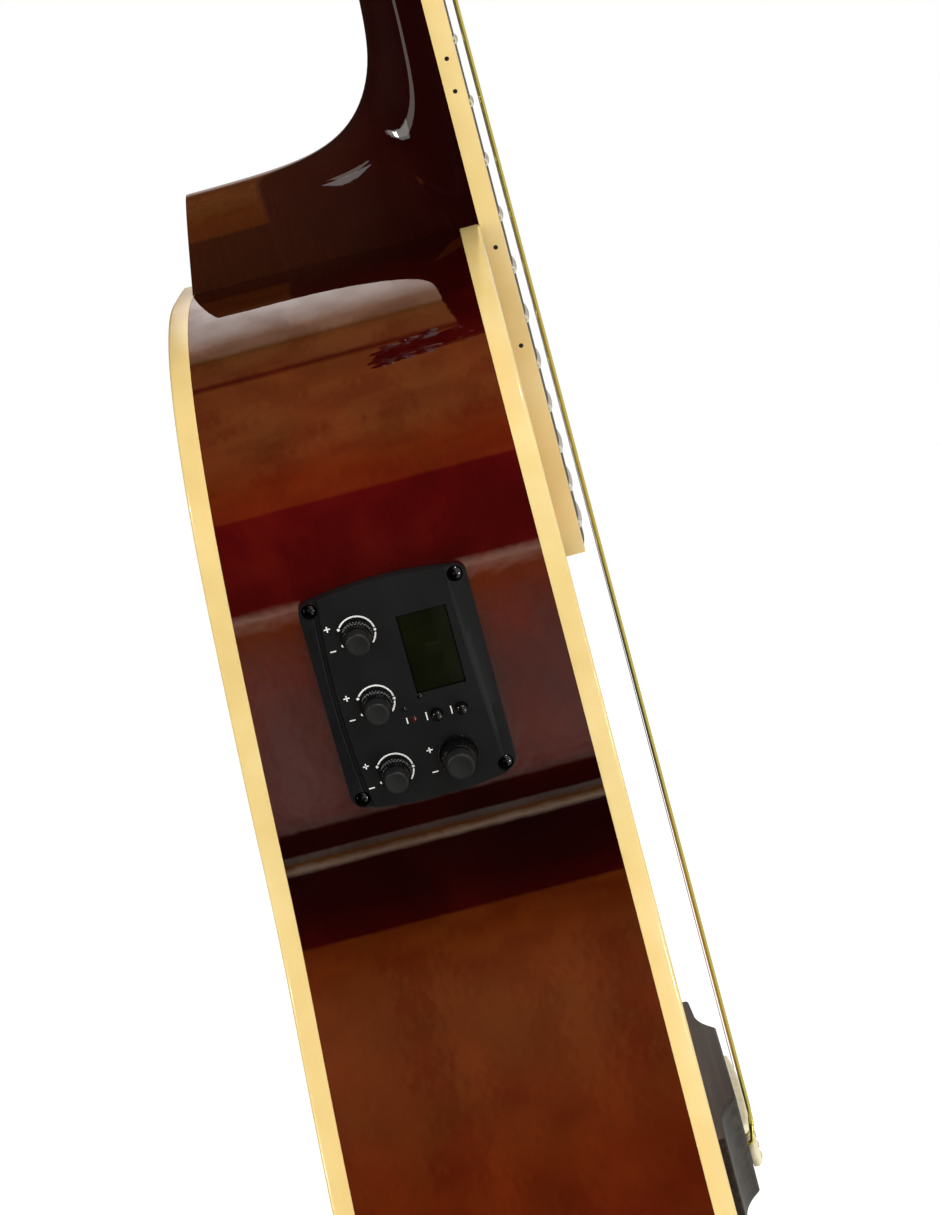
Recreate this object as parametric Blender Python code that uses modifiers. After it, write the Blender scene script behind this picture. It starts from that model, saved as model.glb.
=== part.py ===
"""Acoustic-electric guitar with a single cutaway, modelled as the pieces it is glued and screwed from.

Frame: metres, +Z up the neck to the headstock, the soundboard faces -Y, the bass side is -X.
The origin is where the nut end of the fretboard meets the neck, on the centreline.
Distances called "down" are measured along the body from the joint of neck and body to the tail.
"""

import math

import bmesh
import bpy
from mathutils import Matrix, Vector
from mathutils.geometry import interpolate_bezier

MM = 0.001
GAP = 0.3 * MM

# Scale, fretboard and frets
SCALE_LENGTH = 650 * MM
FRET_COUNT = 21
JOINT_FRET = 14
NUT_WIDTH = 43 * MM
BOARD_END_WIDTH = 55.5 * MM
BOARD_EDGE = 6.1 * MM
BOARD_RADIUS = 400 * MM
BOARD_OVERHANG = 8.5 * MM
BOARD_BINDING = 1.8 * MM
FRET_HEIGHT = 1.0 * MM
FRET_FOOT = 2.4 * MM
FRET_CROWN = 1.3 * MM
FRET_SINK = 0.8 * MM

# Body outline, half widths from the centreline and distances down from the joint
BODY_LENGTH = 480 * MM
SHOULDER_SEAT = 28.5 * MM
SHOULDER_SWELL = 88 * MM
UPPER_BOUT = 146 * MM
UPPER_BOUT_DOWN = 76 * MM
PANEL_RUN_END = 128.95 * MM
PANEL_RUN_DOWN = 157 * MM
WAIST = 127.6 * MM
WAIST_DOWN = 170 * MM
LOWER_BOUT = 188 * MM
LOWER_BOUT_DOWN = 344 * MM
TAIL_TURN = 58 * MM
TAIL_SEGMENT = 17 * MM
CUTAWAY_FLOOR = 62 * MM
CUTAWAY_DOWN = 84 * MM
HORN_TIP = 112 * MM
HORN_DOWN = 50 * MM
HORN_SIDE_DOWN = 94 * MM

# Body depth: an arched back, deepest along the centre and swelling towards the tail
DEPTH_AT_JOINT = 95.5 * MM
DEPTH_GAIN = 0.09
DEPTH_EASE = 0.1
BACK_RADIUS = 4.57

# Plates, sides, linings and bindings
TOP_THICKNESS = 3.0 * MM
BACK_THICKNESS = 3.0 * MM
SIDE_THICKNESS = 2.5 * MM
BINDING_WIDTH = 2.0 * MM
BINDING_HEIGHT = 6.0 * MM
LINING_WIDTH = 8.5 * MM
LINING_HEIGHT = 13 * MM
LINING_TAPER = 6 * MM
BRACE_STEP = 60 * MM
BACK_SLICE = 80 * MM
SOUNDHOLE_RADIUS = 50 * MM
SOUNDHOLE_DOWN = 153 * MM
ROSETTE_INNER = 54 * MM
ROSETTE_OUTER = 62 * MM
ROSETTE_DEPTH = 0.8 * MM
RING_SIDES = 32

# Neck, heel and its tenon in the body
SHAFT_DEPTH_NUT = 15.5 * MM
SHAFT_DEPTH_JOINT = 17.5 * MM
SHAFT_ROUNDNESS = 2.3
HEEL_REACH = 29.5 * MM
HEEL_SHORT_OF_BACK = 5.5 * MM
HEEL_DEPTH = DEPTH_AT_JOINT - HEEL_SHORT_OF_BACK
HEEL_CAP_RISE = 5.3 * MM
HEEL_HALF_WIDTH = 13 * MM
HEEL_SPREAD = 14 * MM
HEEL_SPREAD_FROM = 6 * MM
HEEL_SPREAD_FALL = 13 * MM
HEEL_FLARE = 28 * MM
HEEL_FLARE_FROM = 17.5 * MM
HEEL_FLARE_FALL = 11 * MM
HEEL_LEVELS = (9, 14, 16.5, 18, 20, 23, 27, 32, 39, 50, 70)
TENON_HALF_WIDTH = 10 * MM
TENON_LENGTH = 16 * MM
TENON_DEPTH = 74 * MM
NECK_BLOCK_LENGTH = 50 * MM
NECK_BLOCK_BASS = 42 * MM
TAIL_BLOCK_HALF = 36 * MM
TAIL_BLOCK_LENGTH = 20 * MM
ROD_RADIUS = 2.4 * MM
ROD_DEPTH = 8.9 * MM
ROD_BAR_WIDTH = 5.6 * MM
ROD_NUT_RADIUS = 4.0 * MM
ROD_NUT_LENGTH = 9 * MM

# Headstock and nut
NUT_THICKNESS = 5 * MM
NUT_HEIGHT = 9.0 * MM
HEAD_ANGLE = math.radians(14)
HEAD_THICKNESS = 14.5 * MM
HEAD_LENGTH = 176 * MM
HEAD_NECK_HALF = 21.5 * MM
HEAD_LOW_HALF = 35.5 * MM
HEAD_TOP_HALF = 38.5 * MM
HEAD_FLARE_LENGTH = 26 * MM
HEAD_CROWN_LENGTH = 12 * MM
VENEER_THICKNESS = 1.5 * MM

# Tuners: three a side, all sizes from the post's axis
TUNER_FIRST = 44 * MM
TUNER_PITCH = 39 * MM
TUNER_FIRST_OUT = 24 * MM
TUNER_OUT_GAIN = 1.5 * MM
POST_RADIUS = 3.1 * MM
POST_WAIST = 2.7 * MM
POST_TOP = 16 * MM
POST_BOTTOM = 19 * MM
POST_EYE = 11 * MM
POST_EYE_RADIUS = 1.0 * MM
RUNNING_GAP = 0.3 * MM
BUSH_RADIUS = 4.7 * MM
BUSH_FLANGE = 6.4 * MM
BUSH_TOP = 4.4 * MM
GEARBOX_DEPTH = 11.5 * MM
GEARBOX_IN = 8.5 * MM
GEARBOX_OUT = 8.5 * MM
GEARBOX_BACK = 8 * MM
GEARBOX_FRONT = 12.5 * MM
WORM_OFFSET = 6 * MM
WORM_SHAFT = 2.0 * MM
WORM_COLLAR = 3.4 * MM
WORM_COLLAR_END = 15 * MM
WORM_SHAFT_START = 5 * MM
WORM_NECK_END = 12 * MM
BUTTON_CENTRE = 27.5 * MM
BUTTON_HALF_LENGTH = 8.5 * MM
BUTTON_HALF_WIDTH = 10.2 * MM
BUTTON_HALF_THICKNESS = 3.6 * MM

# Bridge, saddle, pins and strings, lowest string first
BRIDGE_HALF_LENGTH = 79 * MM
BRIDGE_HALF_BLOCK = 40 * MM
BRIDGE_RAMP = 22 * MM
BRIDGE_HEIGHT = 9 * MM
BRIDGE_WING = 3.2 * MM
BRIDGE_AHEAD = 10 * MM
BRIDGE_BEHIND = 22 * MM
SADDLE_HALF_LENGTH = 36 * MM
SADDLE_THICKNESS = 3 * MM
SADDLE_CREST = 12.0 * MM
SADDLE_SLOT_DEPTH = 6.5 * MM
SADDLE_SLANT = math.radians(2.4)
PICKUP_HEIGHT = 1.6 * MM
PIN_BEHIND = 14.5 * MM
PIN_HEAD_RADIUS = 3.4 * MM
PIN_RADIUS = 2.4 * MM
PIN_TIP_RADIUS = 2.1 * MM
PIN_HEAD_HEIGHT = 3.2 * MM
BRIDGE_PLATE_THICKNESS = 3 * MM
STRING_DIAMETERS = (1.35 * MM, 1.05 * MM, 0.80 * MM, 0.60 * MM, 0.40 * MM, 0.30 * MM)
STRING_TURNS = (1.5, 1.5, 2, 2, 2.5, 2.5)
STRING_COUNT = len(STRING_DIAMETERS)
STRING_SPREAD_NUT = 36 * MM
STRING_SPREAD_BRIDGE = 54 * MM
STRING_ABOVE_BOARD = 1.6 * MM
BALL_RADIUS = 2 * MM
BALL_LENGTH = 4 * MM
WINDING_CLEARANCE = 0.55 * MM
LOOP_POINTS = 18

# Preamp on the bass side: X to the soundboard, Y to the head, Z outwards, from the panel's centre
PANEL_CENTRE_DEPTH = 51.6 * MM
PANEL_CENTRE_DOWN = 110.7 * MM
PANEL_HALF_WIDTH = 23.9 * MM
PANEL_HALF_HEIGHT = 33.7 * MM
PANEL_TOP = 4.0 * MM
PANEL_BOW = 1.8 * MM
PANEL_CORNER = 4.0 * MM
PANEL_SCREW_X = 20.7 * MM
PANEL_SCREW_Y = 29.2 * MM
PANEL_SCREW_WELL = 2.2 * MM
PANEL_WELL_FLOOR = 1.5 * MM
PANEL_PROFILE = (
    (-26, GAP / MM), (26, GAP / MM), (26, 2.2), (23.4, 2.4), (21.0, 2.5), (19.0, 3.2), (17.8, 4.0),
    (-17.6, 4.0), (-18.2, 2.9), (-18.8, 2.9), (-19.4, 3.4), (-22.8, 3.1), (-26, 2.4),
)
CASE_HALF_WIDTH = 20 * MM
CASE_HALF_HEIGHT = 28.6 * MM
CASE_DEPTH = 38 * MM
CASE_NECK = 15 * MM
WINDOW_LOW = (1.9 * MM, -2.1 * MM)
WINDOW_HIGH = (16.1 * MM, 21.8 * MM)
WINDOW_THICKNESS = 1.2 * MM
WINDOW_SUNK = 0.5 * MM
KNOB_X = -9.7 * MM
KNOB_ROWS = {"knob_bass": 19.8 * MM, "knob_middle": -1.5 * MM, "knob_treble": -22.8 * MM}
VOLUME_PLACE = (8.7 * MM, -22.8 * MM)
KNOB_RADIUS = 4.5 * MM
KNOB_HEIGHT = 8.9 * MM
VOLUME_RADIUS = 5.3 * MM
VOLUME_HEIGHT = 9.2 * MM
KNOB_FLUTES = 10
KNOB_SHAFT = 2.9 * MM
KNOB_SHAFT_LENGTH = 8 * MM
PUSH_PLACES = {"button_phase": (5.8 * MM, -9.2 * MM), "button_tuner": (12.9 * MM, -9.2 * MM)}
PUSH_RADIUS = 1.5 * MM
PUSH_HEIGHT = 2.9 * MM

# End jack in the tail, which is the strap button too
JACK_BORE = 3.3 * MM
JACK_BORE_DEPTH = 28 * MM
JACK_BARREL = 5.7 * MM
JACK_BARREL_LENGTH = 40 * MM
JACK_FLANGE = 9.0 * MM
JACK_HEIGHT = 11 * MM
JACK_WAIST = 5.6 * MM
JACK_RIM = 7.0 * MM


def clear_scene():
    for thing in list(bpy.data.objects):
        bpy.data.objects.remove(thing, do_unlink=True)


def make_collection(name, parent):
    collection = bpy.data.collections.new(name)
    parent.children.link(collection)
    return collection


clear_scene()
GUITAR = make_collection("acoustic_electric_guitar", bpy.context.scene.collection)
CUTTERS = make_collection("cutters", bpy.context.scene.collection)


def finish_of(name, colour, roughness, metallic=0.0):
    """A Principled finish with the piece's colour, roughness and metallic value."""
    material = bpy.data.materials.new(name)
    material.use_nodes = True
    shader = material.node_tree.nodes["Principled BSDF"]
    shader.inputs["Base Color"].default_value = (*colour, 1.0)
    shader.inputs["Roughness"].default_value = roughness
    shader.inputs["Metallic"].default_value = metallic
    material.diffuse_color = (*colour, 1.0)
    return material


SPRUCE = finish_of("spruce_lacquer", (0.62, 0.40, 0.18), 0.22)
BURST = finish_of("tobacco_burst_lacquer", (0.16, 0.035, 0.012), 0.08)
MAHOGANY = finish_of("mahogany_lacquer", (0.06, 0.012, 0.007), 0.08)
INNER_WOOD = finish_of("bare_spruce", (0.60, 0.42, 0.22), 0.7)
IVOROID = finish_of("cream_binding", (0.87, 0.74, 0.40), 0.25)
ROSEWOOD = finish_of("rosewood", (0.045, 0.020, 0.012), 0.45)
BONE = finish_of("bone", (0.86, 0.80, 0.64), 0.3)
BLACK = finish_of("black_moulding", (0.012, 0.012, 0.012), 0.45)
GLASS = finish_of("display_window", (0.010, 0.012, 0.006), 0.12)
CHROME = finish_of("chrome", (0.75, 0.75, 0.76), 0.12, 1.0)
STEEL = finish_of("steel", (0.55, 0.55, 0.56), 0.3, 1.0)
BRONZE = finish_of("bronze_winding", (0.62, 0.40, 0.18), 0.3, 1.0)


def link(name, data, finish, parent=None):
    """Put a mesh or a curve into the guitar's collection under its own name."""
    thing = bpy.data.objects.new(name, data)
    GUITAR.objects.link(thing)
    if finish:
        data.materials.append(finish)
    thing.parent = parent
    return thing


def as_cutter(thing, group=None):
    """Keep a shape only as the tool of a Boolean."""
    GUITAR.objects.unlink(thing)
    (group or CUTTERS).objects.link(thing)
    thing.hide_render = True
    thing.display_type = "WIRE"
    return thing


def boolean(thing, tool, operation="DIFFERENCE"):
    modifier = thing.modifiers.new(operation.lower(), "BOOLEAN")
    modifier.operation = operation
    modifier.solver = "EXACT"
    if isinstance(tool, bpy.types.Collection):
        modifier.operand_type = "COLLECTION"
        modifier.collection = tool
    else:
        modifier.object = tool
    return modifier


def smooth(thing, angle=35):
    thing.data.shade_smooth()
    thing.data.set_sharp_from_angle(angle=math.radians(angle))


def face_outwards(bm):
    """Turn every face of a closed skin to the outside."""
    bm.normal_update()
    bmesh.ops.recalc_face_normals(bm, faces=bm.faces)
    if bm.calc_volume(signed=True) < 0:
        bmesh.ops.reverse_faces(bm, faces=bm.faces)


def to_mesh(name, build, finish, parent=None):
    """Run a bmesh builder and link what it made."""
    bm = bmesh.new()
    build(bm)
    face_outwards(bm)
    mesh = bpy.data.meshes.new(name)
    bm.to_mesh(mesh)
    bm.free()
    return link(name, mesh, finish, parent)


def box(name, low, high, finish=None, parent=None, bevel=0.0):
    """A block between two corners, with its edges rounded by a Bevel if asked."""
    size = [top - bottom for bottom, top in zip(low, high)]
    middle = Vector([(top + bottom) / 2 for bottom, top in zip(low, high)])
    place = Matrix.Translation(middle) @ Matrix.Diagonal((*size, 1.0))
    thing = to_mesh(name, lambda bm: bmesh.ops.create_cube(bm, size=1.0, matrix=place), finish, parent)
    if bevel:
        rounding = thing.modifiers.new("rounded_edges", "BEVEL")
        rounding.width = bevel
        rounding.segments = 1
        rounding.limit_method = "ANGLE"
    return thing


def cylinder(name, radius, low, high, finish=None, parent=None, sides=16, turn=None):
    """A round bar along its own Z from low to high, turned and moved by a matrix if given."""
    matrix = (turn or Matrix.Identity(4)) @ Matrix.Translation((0, 0, (low + high) / 2))

    def build(bm):
        bmesh.ops.create_cone(
            bm, cap_ends=True, segments=sides, radius1=radius,
            radius2=radius, depth=high - low, matrix=matrix,
        )

    return to_mesh(name, build, finish, parent)


def loft(name, sections, finish, parent=None, ring=False):
    """A skin over closed sections of equal length, capped at both ends unless it closes on itself."""

    def build(bm):
        rows = [[bm.verts.new(point) for point in section] for section in sections]
        pairs = list(zip(rows, rows[1:]))
        if ring:
            pairs.append((rows[-1], rows[0]))
        count = len(rows[0])
        for near, far in pairs:
            for i in range(count):
                j = (i + 1) % count
                bm.faces.new((near[i], near[j], far[j], far[i]))
        if not ring:
            bm.faces.new(rows[0])
            bm.faces.new(rows[-1])

    return to_mesh(name, build, finish, parent)


def turned(name, profile, finish, parent=None, steps=16):
    """A turned shape round its own Z; the profile's (radius, height) pairs run from top to bottom."""
    mesh = bpy.data.meshes.new(name)
    points = [(radius, 0.0, height) for radius, height in profile]
    mesh.from_pydata(points, [(i, i + 1) for i in range(len(points) - 1)], [])
    thing = link(name, mesh, finish, parent)
    screw = thing.modifiers.new("turning", "SCREW")
    screw.steps = steps
    screw.render_steps = steps
    screw.use_merge_vertices = True
    screw.merge_threshold = 0.00001
    screw.use_smooth_shade = True
    return thing


def tube(name, points, radii, finish):
    """A round wire through points as one unbroken tube with closed ends."""
    curve = bpy.data.curves.new(name, "CURVE")
    curve.dimensions = "3D"
    curve.bevel_depth = 1.0
    curve.bevel_resolution = 1
    curve.use_fill_caps = True
    spline = curve.splines.new("POLY")
    spline.points.add(len(points) - 1)
    for knot, point, radius in zip(spline.points, points, radii):
        knot.co = (*point, 1.0)
        knot.radius = radius
    return link(name, curve, finish)


def plate(name, outline, front, back, finish, holes=()):
    """A prism over an (x, z) outline; front and back give y, as a number or as a function of x and z.

    Holes are further outlines, cut by the fill of a flat curve.
    """
    curve = bpy.data.curves.new(name, "CURVE")
    curve.dimensions = "2D"
    curve.fill_mode = "BOTH"
    curve.extrude = 0.5
    for loop in (outline, *holes):
        spline = curve.splines.new("POLY")
        spline.points.add(len(loop) - 1)
        spline.use_cyclic_u = True
        for knot, (x, z) in zip(spline.points, loop):
            knot.co = (x, z, 0.0, 1.0)
    flat = bpy.data.objects.new(name + "_outline", curve)
    bpy.context.scene.collection.objects.link(flat)
    bpy.context.view_layer.update()
    mesh = bpy.data.meshes.new_from_object(flat.evaluated_get(bpy.context.evaluated_depsgraph_get()))
    bpy.data.objects.remove(flat, do_unlink=True)
    bm = bmesh.new()
    bm.from_mesh(mesh)
    bmesh.ops.remove_doubles(bm, verts=bm.verts, dist=0.00001)
    for vert in bm.verts:
        x, z, side = vert.co
        level = back if side > 0 else front
        vert.co = (x, level(x, z) if callable(level) else level, z)
    face_outwards(bm)
    bm.to_mesh(mesh)
    bm.free()
    mesh.name = name
    mesh.materials.clear()
    return link(name, mesh, finish)


def empty_at(name, matrix, parent=None):
    thing = bpy.data.objects.new(name, None)
    GUITAR.objects.link(thing)
    thing.parent = parent
    thing.matrix_local = matrix
    return thing


# Places that several pieces share

def fret_distance(number):
    return SCALE_LENGTH * (1 - 2 ** (-number / 12))


JOINT_Z = -fret_distance(JOINT_FRET)
BOARD_LENGTH = fret_distance(FRET_COUNT) + BOARD_OVERHANG


def down(distance):
    """Height z of a place on the body, from its distance below the joint."""
    return JOINT_Z - distance


def back_depth(x, z):
    """Outer face of the arched back."""
    distance = JOINT_Z - z
    centre = DEPTH_AT_JOINT + DEPTH_GAIN * distance - DEPTH_EASE * distance ** 2
    return centre - x ** 2 / (2 * BACK_RADIUS)


def board_half(z):
    """Half width of the bound fretboard."""
    share = -z / fret_distance(FRET_COUNT)
    return (NUT_WIDTH + (BOARD_END_WIDTH - NUT_WIDTH) * share) / 2


def board_top(x, z):
    """Height y of the crowned playing face."""
    return -(GAP + BOARD_EDGE + (board_half(z) ** 2 - x ** 2) / (2 * BOARD_RADIUS))


def string_x(index, spread):
    return spread * (index / (STRING_COUNT - 1) - 0.5)


def saddle_z(x):
    return -SCALE_LENGTH - 1.5 * MM + x * math.tan(SADDLE_SLANT)


PIN_Z = -SCALE_LENGTH - PIN_BEHIND

HEAD_ORIGIN = Vector((0, 0, NUT_THICKNESS + 2 * GAP))
HEAD_MATRIX = Matrix.Translation(HEAD_ORIGIN) @ Matrix.Rotation(math.pi / 2 - HEAD_ANGLE, 4, "X")


def on_head(x, along, proud):
    """World point at x, a distance up the headstock and a height proud of its glue plane."""
    return HEAD_MATRIX @ Vector((x, along, proud))


def run_between(start, heading_out, reach_out, end, heading_in, reach_in, count):
    """Points of a Bezier from start to end without the start; headings are unit directions."""
    points = interpolate_bezier(
        start, start + heading_out * reach_out, end - heading_in * reach_in, end, count + 1)
    return [Vector(point[:2]) for point in points[1:]]


def half_outline(sign):
    """One side of the body, from the tenon slot to the tail, as (x, z) with z from down()."""
    out = Vector((1, 0))
    tailward = Vector((0, 1))
    inward = Vector((-1, 0))
    run_start = Vector((UPPER_BOUT, UPPER_BOUT_DOWN))
    run_end = Vector((PANEL_RUN_END, PANEL_RUN_DOWN))
    run_heading = (run_end - run_start).normalized()
    seat = Vector((SHOULDER_SEAT, 0))
    waist = Vector((WAIST, WAIST_DOWN))
    lower = Vector((LOWER_BOUT, LOWER_BOUT_DOWN))
    tail = Vector((GAP / 2, BODY_LENGTH))
    points = [Vector((TENON_HALF_WIDTH + 2 * GAP, 0)), seat]
    if sign < 0:
        points += run_between(seat, out, SHOULDER_SWELL, run_start, run_heading, 45 * MM, 10)
    else:
        floor = Vector((CUTAWAY_FLOOR, CUTAWAY_DOWN))
        horn = Vector((HORN_TIP, HORN_DOWN))
        horn_side = Vector((UPPER_BOUT, HORN_SIDE_DOWN))
        points += run_between(seat, tailward, 46 * MM, floor, out, 24 * MM, 6)
        points += run_between(floor, out, 18 * MM, horn, out, 26 * MM, 6)
        points += run_between(horn, out, 19 * MM, horn_side, tailward, 25 * MM, 6)
        run_start = horn_side
    points += run_between(run_start, run_heading, 25 * MM, run_end, run_heading, 25 * MM, 2)
    points += run_between(run_end, run_heading, 6 * MM, waist, tailward, 6 * MM, 1)
    points += run_between(waist, tailward, 38 * MM, lower, tailward, 120 * MM, 8)
    tail_run = BODY_LENGTH - LOWER_BOUT_DOWN
    points += run_between(lower, tailward, tail_run - TAIL_TURN, tail, inward, 112 * MM,
                          round(tail_run / TAIL_SEGMENT))
    return [(sign * point.x, down(point.y)) for point in points]


BASS_OUTLINE = half_outline(-1)
TREBLE_OUTLINE = half_outline(1)
OUTLINE = BASS_OUTLINE + TREBLE_OUTLINE[::-1]
BASS_INDEX = range(len(BASS_OUTLINE))
TREBLE_INDEX = range(len(OUTLINE) - 1, len(BASS_OUTLINE) - 1, -1)


def inset(distance):
    """The body outline moved inwards by a distance, corner by corner."""
    moved = []
    count = len(OUTLINE)
    for i in range(count):
        before, here, after = (Vector(OUTLINE[j % count]) for j in (i - 1, i, i + 1))
        first = (here - before).normalized()
        second = (after - here).normalized()
        first_in = Vector((-first.y, first.x))
        second_in = Vector((-second.y, second.x))
        shift = (first_in + second_in) / (1 + first_in.dot(second_in))
        moved.append(here + shift * distance)
    return moved


def swept(name, rows, profile, finish, ring=False, width_at=None):
    """A strip round the body: profile corners are (inset, edge, distance from that edge).

    The edge is "front" for the soundboard's plane or "back" for the arched back's face.
    """
    moved = {}
    sections = []
    for row, index in enumerate(rows):
        section = []
        for distance, edge, offset in profile:
            if width_at and distance > SIDE_THICKNESS:
                distance = SIDE_THICKNESS + (distance - SIDE_THICKNESS) * width_at(index)
            if distance not in moved:
                moved[distance] = inset(distance)
            x, z = moved[distance][index]
            y = offset if edge == "front" else back_depth(x, z) - offset
            section.append((x, y, z))
        sections.append(section)
    return loft(name, sections, finish, ring=ring)


# Body

def lining_share(index):
    """Full lining round the body, thinned away where the neck and tail blocks stand."""
    x, z = OUTLINE[index]
    beside_neck = JOINT_Z - z < NECK_BLOCK_LENGTH + 4 * MM and abs(x) < UPPER_BOUT / 2
    thinned = TAIL_BLOCK_HALF + LINING_WIDTH + TAIL_SEGMENT
    beside_tail = z - down(BODY_LENGTH) < 2 * TAIL_BLOCK_LENGTH and abs(x) < thinned
    return 0.05 if beside_neck or beside_tail else 1.0


def make_sides():
    """Both ribs, each with its front and back linings glued on."""
    step = BINDING_WIDTH + GAP
    top_seat = TOP_THICKNESS + GAP
    back_seat = BACK_THICKNESS + GAP
    ledge = BINDING_HEIGHT + GAP
    profile = [
        (0, "front", ledge),
        (0, "back", ledge),
        (step, "back", ledge),
        (step, "back", back_seat),
        (LINING_WIDTH, "back", back_seat),
        (LINING_WIDTH, "back", back_seat + LINING_TAPER),
        (SIDE_THICKNESS, "back", back_seat + LINING_HEIGHT),
        (SIDE_THICKNESS, "front", top_seat + LINING_HEIGHT),
        (LINING_WIDTH, "front", top_seat + LINING_TAPER),
        (LINING_WIDTH, "front", top_seat),
        (step, "front", top_seat),
        (step, "front", ledge),
    ]
    for name, rows in (("side_bass", BASS_INDEX), ("side_treble", TREBLE_INDEX)):
        side = swept(name, rows, profile, BURST, width_at=lining_share)
        smooth(side)


def make_bindings():
    for name, edge in (("binding_top", "front"), ("binding_back", "back")):
        corners = [(0, edge, 0), (BINDING_WIDTH, edge, 0), (BINDING_WIDTH, edge, BINDING_HEIGHT),
                   (0, edge, BINDING_HEIGHT)]
        binding = swept(name, range(len(OUTLINE)), corners, IVOROID, ring=True)
        smooth(binding)


def circle(radius, centre, count):
    return [(centre[0] + radius * math.cos(2 * math.pi * i / count),
             centre[1] + radius * math.sin(2 * math.pi * i / count)) for i in range(count)]


def make_soundboard():
    """Flat spruce top with its hole, the groove of the rosette and the pin holes."""
    centre = (0, down(SOUNDHOLE_DOWN))
    outline = [tuple(point) for point in inset(BINDING_WIDTH + GAP)]
    board = plate("soundboard", outline, 0, TOP_THICKNESS, SPRUCE,
                  holes=[circle(SOUNDHOLE_RADIUS, centre, RING_SIDES)])
    groove = plate("rosette_groove", circle(ROSETTE_OUTER + GAP, centre, RING_SIDES),
                   -1 * MM, ROSETTE_DEPTH + GAP, None,
                   holes=[circle(ROSETTE_INNER - GAP, centre, RING_SIDES)])
    boolean(board, as_cutter(groove))
    boolean(board, PIN_HOLES)
    plate("rosette", circle(ROSETTE_OUTER, centre, RING_SIDES), 0, ROSETTE_DEPTH, ROSEWOOD,
          holes=[circle(ROSETTE_INNER, centre, RING_SIDES)])


def make_back():
    """Arched plate: the flat outline is sliced, lifted to the arch and given its thickness."""
    outline = inset(BINDING_WIDTH + GAP)

    def build(bm):
        bm.faces.new([bm.verts.new((x, 0, z)) for x, z in outline])
        for i in range(-3, 4):
            bmesh.ops.bisect_plane(bm, geom=bm.verts[:] + bm.edges[:] + bm.faces[:],
                                   plane_co=(i * 55 * MM, 0, 0), plane_no=(1, 0, 0))
        for i in range(1, math.ceil(BODY_LENGTH / BACK_SLICE)):
            bmesh.ops.bisect_plane(bm, geom=bm.verts[:] + bm.edges[:] + bm.faces[:],
                                   plane_co=(0, 0, down(i * BACK_SLICE)), plane_no=(0, 0, 1))
        bmesh.ops.triangulate(bm, faces=bm.faces)
        for vert in bm.verts:
            vert.co.y = back_depth(vert.co.x, vert.co.z)
        inner = bmesh.ops.extrude_face_region(bm, geom=bm.faces[:])
        moved = [part for part in inner["geom"] if isinstance(part, bmesh.types.BMVert)]
        bmesh.ops.translate(bm, verts=moved, vec=(0, -BACK_THICKNESS, 0))

    smooth(to_mesh("back_plate", build, BURST))


def inner_back(x, z):
    """Where a block or a brace meets the inside of the back."""
    return back_depth(x, z) - BACK_THICKNESS - GAP


def tail_stretch(ring, half):
    """The part of an outline at the tail between -half and half, cut off exactly there."""
    points = []
    for near, far in zip(ring, ring[1:]):
        if near.y > down(BODY_LENGTH / 2):
            continue
        if near.x < -half < far.x:
            points.append(near.lerp(far, (-half - near.x) / (far.x - near.x)))
        if abs(far.x) < half:
            points.append(far)
        if near.x < half < far.x:
            points.append(near.lerp(far, (half - near.x) / (far.x - near.x)))
    return [tuple(point) for point in points]


def make_blocks():
    """Neck block with the mortise and the rod's hole, tail block with the jack's hole."""
    first = SIDE_THICKNESS + 2 * GAP + 0.05 * LINING_WIDTH
    treble = SHOULDER_SEAT - first
    outline = [(-NECK_BLOCK_BASS, down(first)), (treble, down(first)),
               (treble, down(NECK_BLOCK_LENGTH)), (-NECK_BLOCK_BASS, down(NECK_BLOCK_LENGTH))]
    block = plate("neck_block", outline, TOP_THICKNESS + GAP, inner_back, INNER_WOOD)
    wide = TENON_HALF_WIDTH + GAP
    mortise = box("mortise", (-wide, BINDING_HEIGHT + GAP, down(TENON_LENGTH + GAP)),
                  (wide, BINDING_HEIGHT + 3 * GAP + TENON_DEPTH, down(-5 * MM)))
    boolean(block, as_cutter(mortise))
    tunnel = cylinder("rod_tunnel", ROD_RADIUS + GAP, down(NECK_BLOCK_LENGTH + 5 * MM), down(0), sides=12,
                      turn=Matrix.Translation((0, ROD_DEPTH, 0)))
    boolean(block, as_cutter(tunnel))

    curved = tail_stretch(inset(first), TAIL_BLOCK_HALF)
    top = down(BODY_LENGTH) + first + TAIL_BLOCK_LENGTH
    ends = [(TAIL_BLOCK_HALF, top), (-TAIL_BLOCK_HALF, top)]
    plate("tail_block", curved + ends, TOP_THICKNESS + GAP, inner_back, INNER_WOOD)
    jack_y = back_depth(0, down(BODY_LENGTH)) / 2
    hole = cylinder("jack_hole", JACK_BARREL + GAP, down(BODY_LENGTH + 5 * MM), down(BODY_LENGTH - 60 * MM),
                    turn=Matrix.Translation((0, jack_y, 0)))
    as_cutter(hole)
    for name in ("tail_block", "side_bass", "side_treble"):
        boolean(bpy.data.objects[name], hole)


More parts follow.
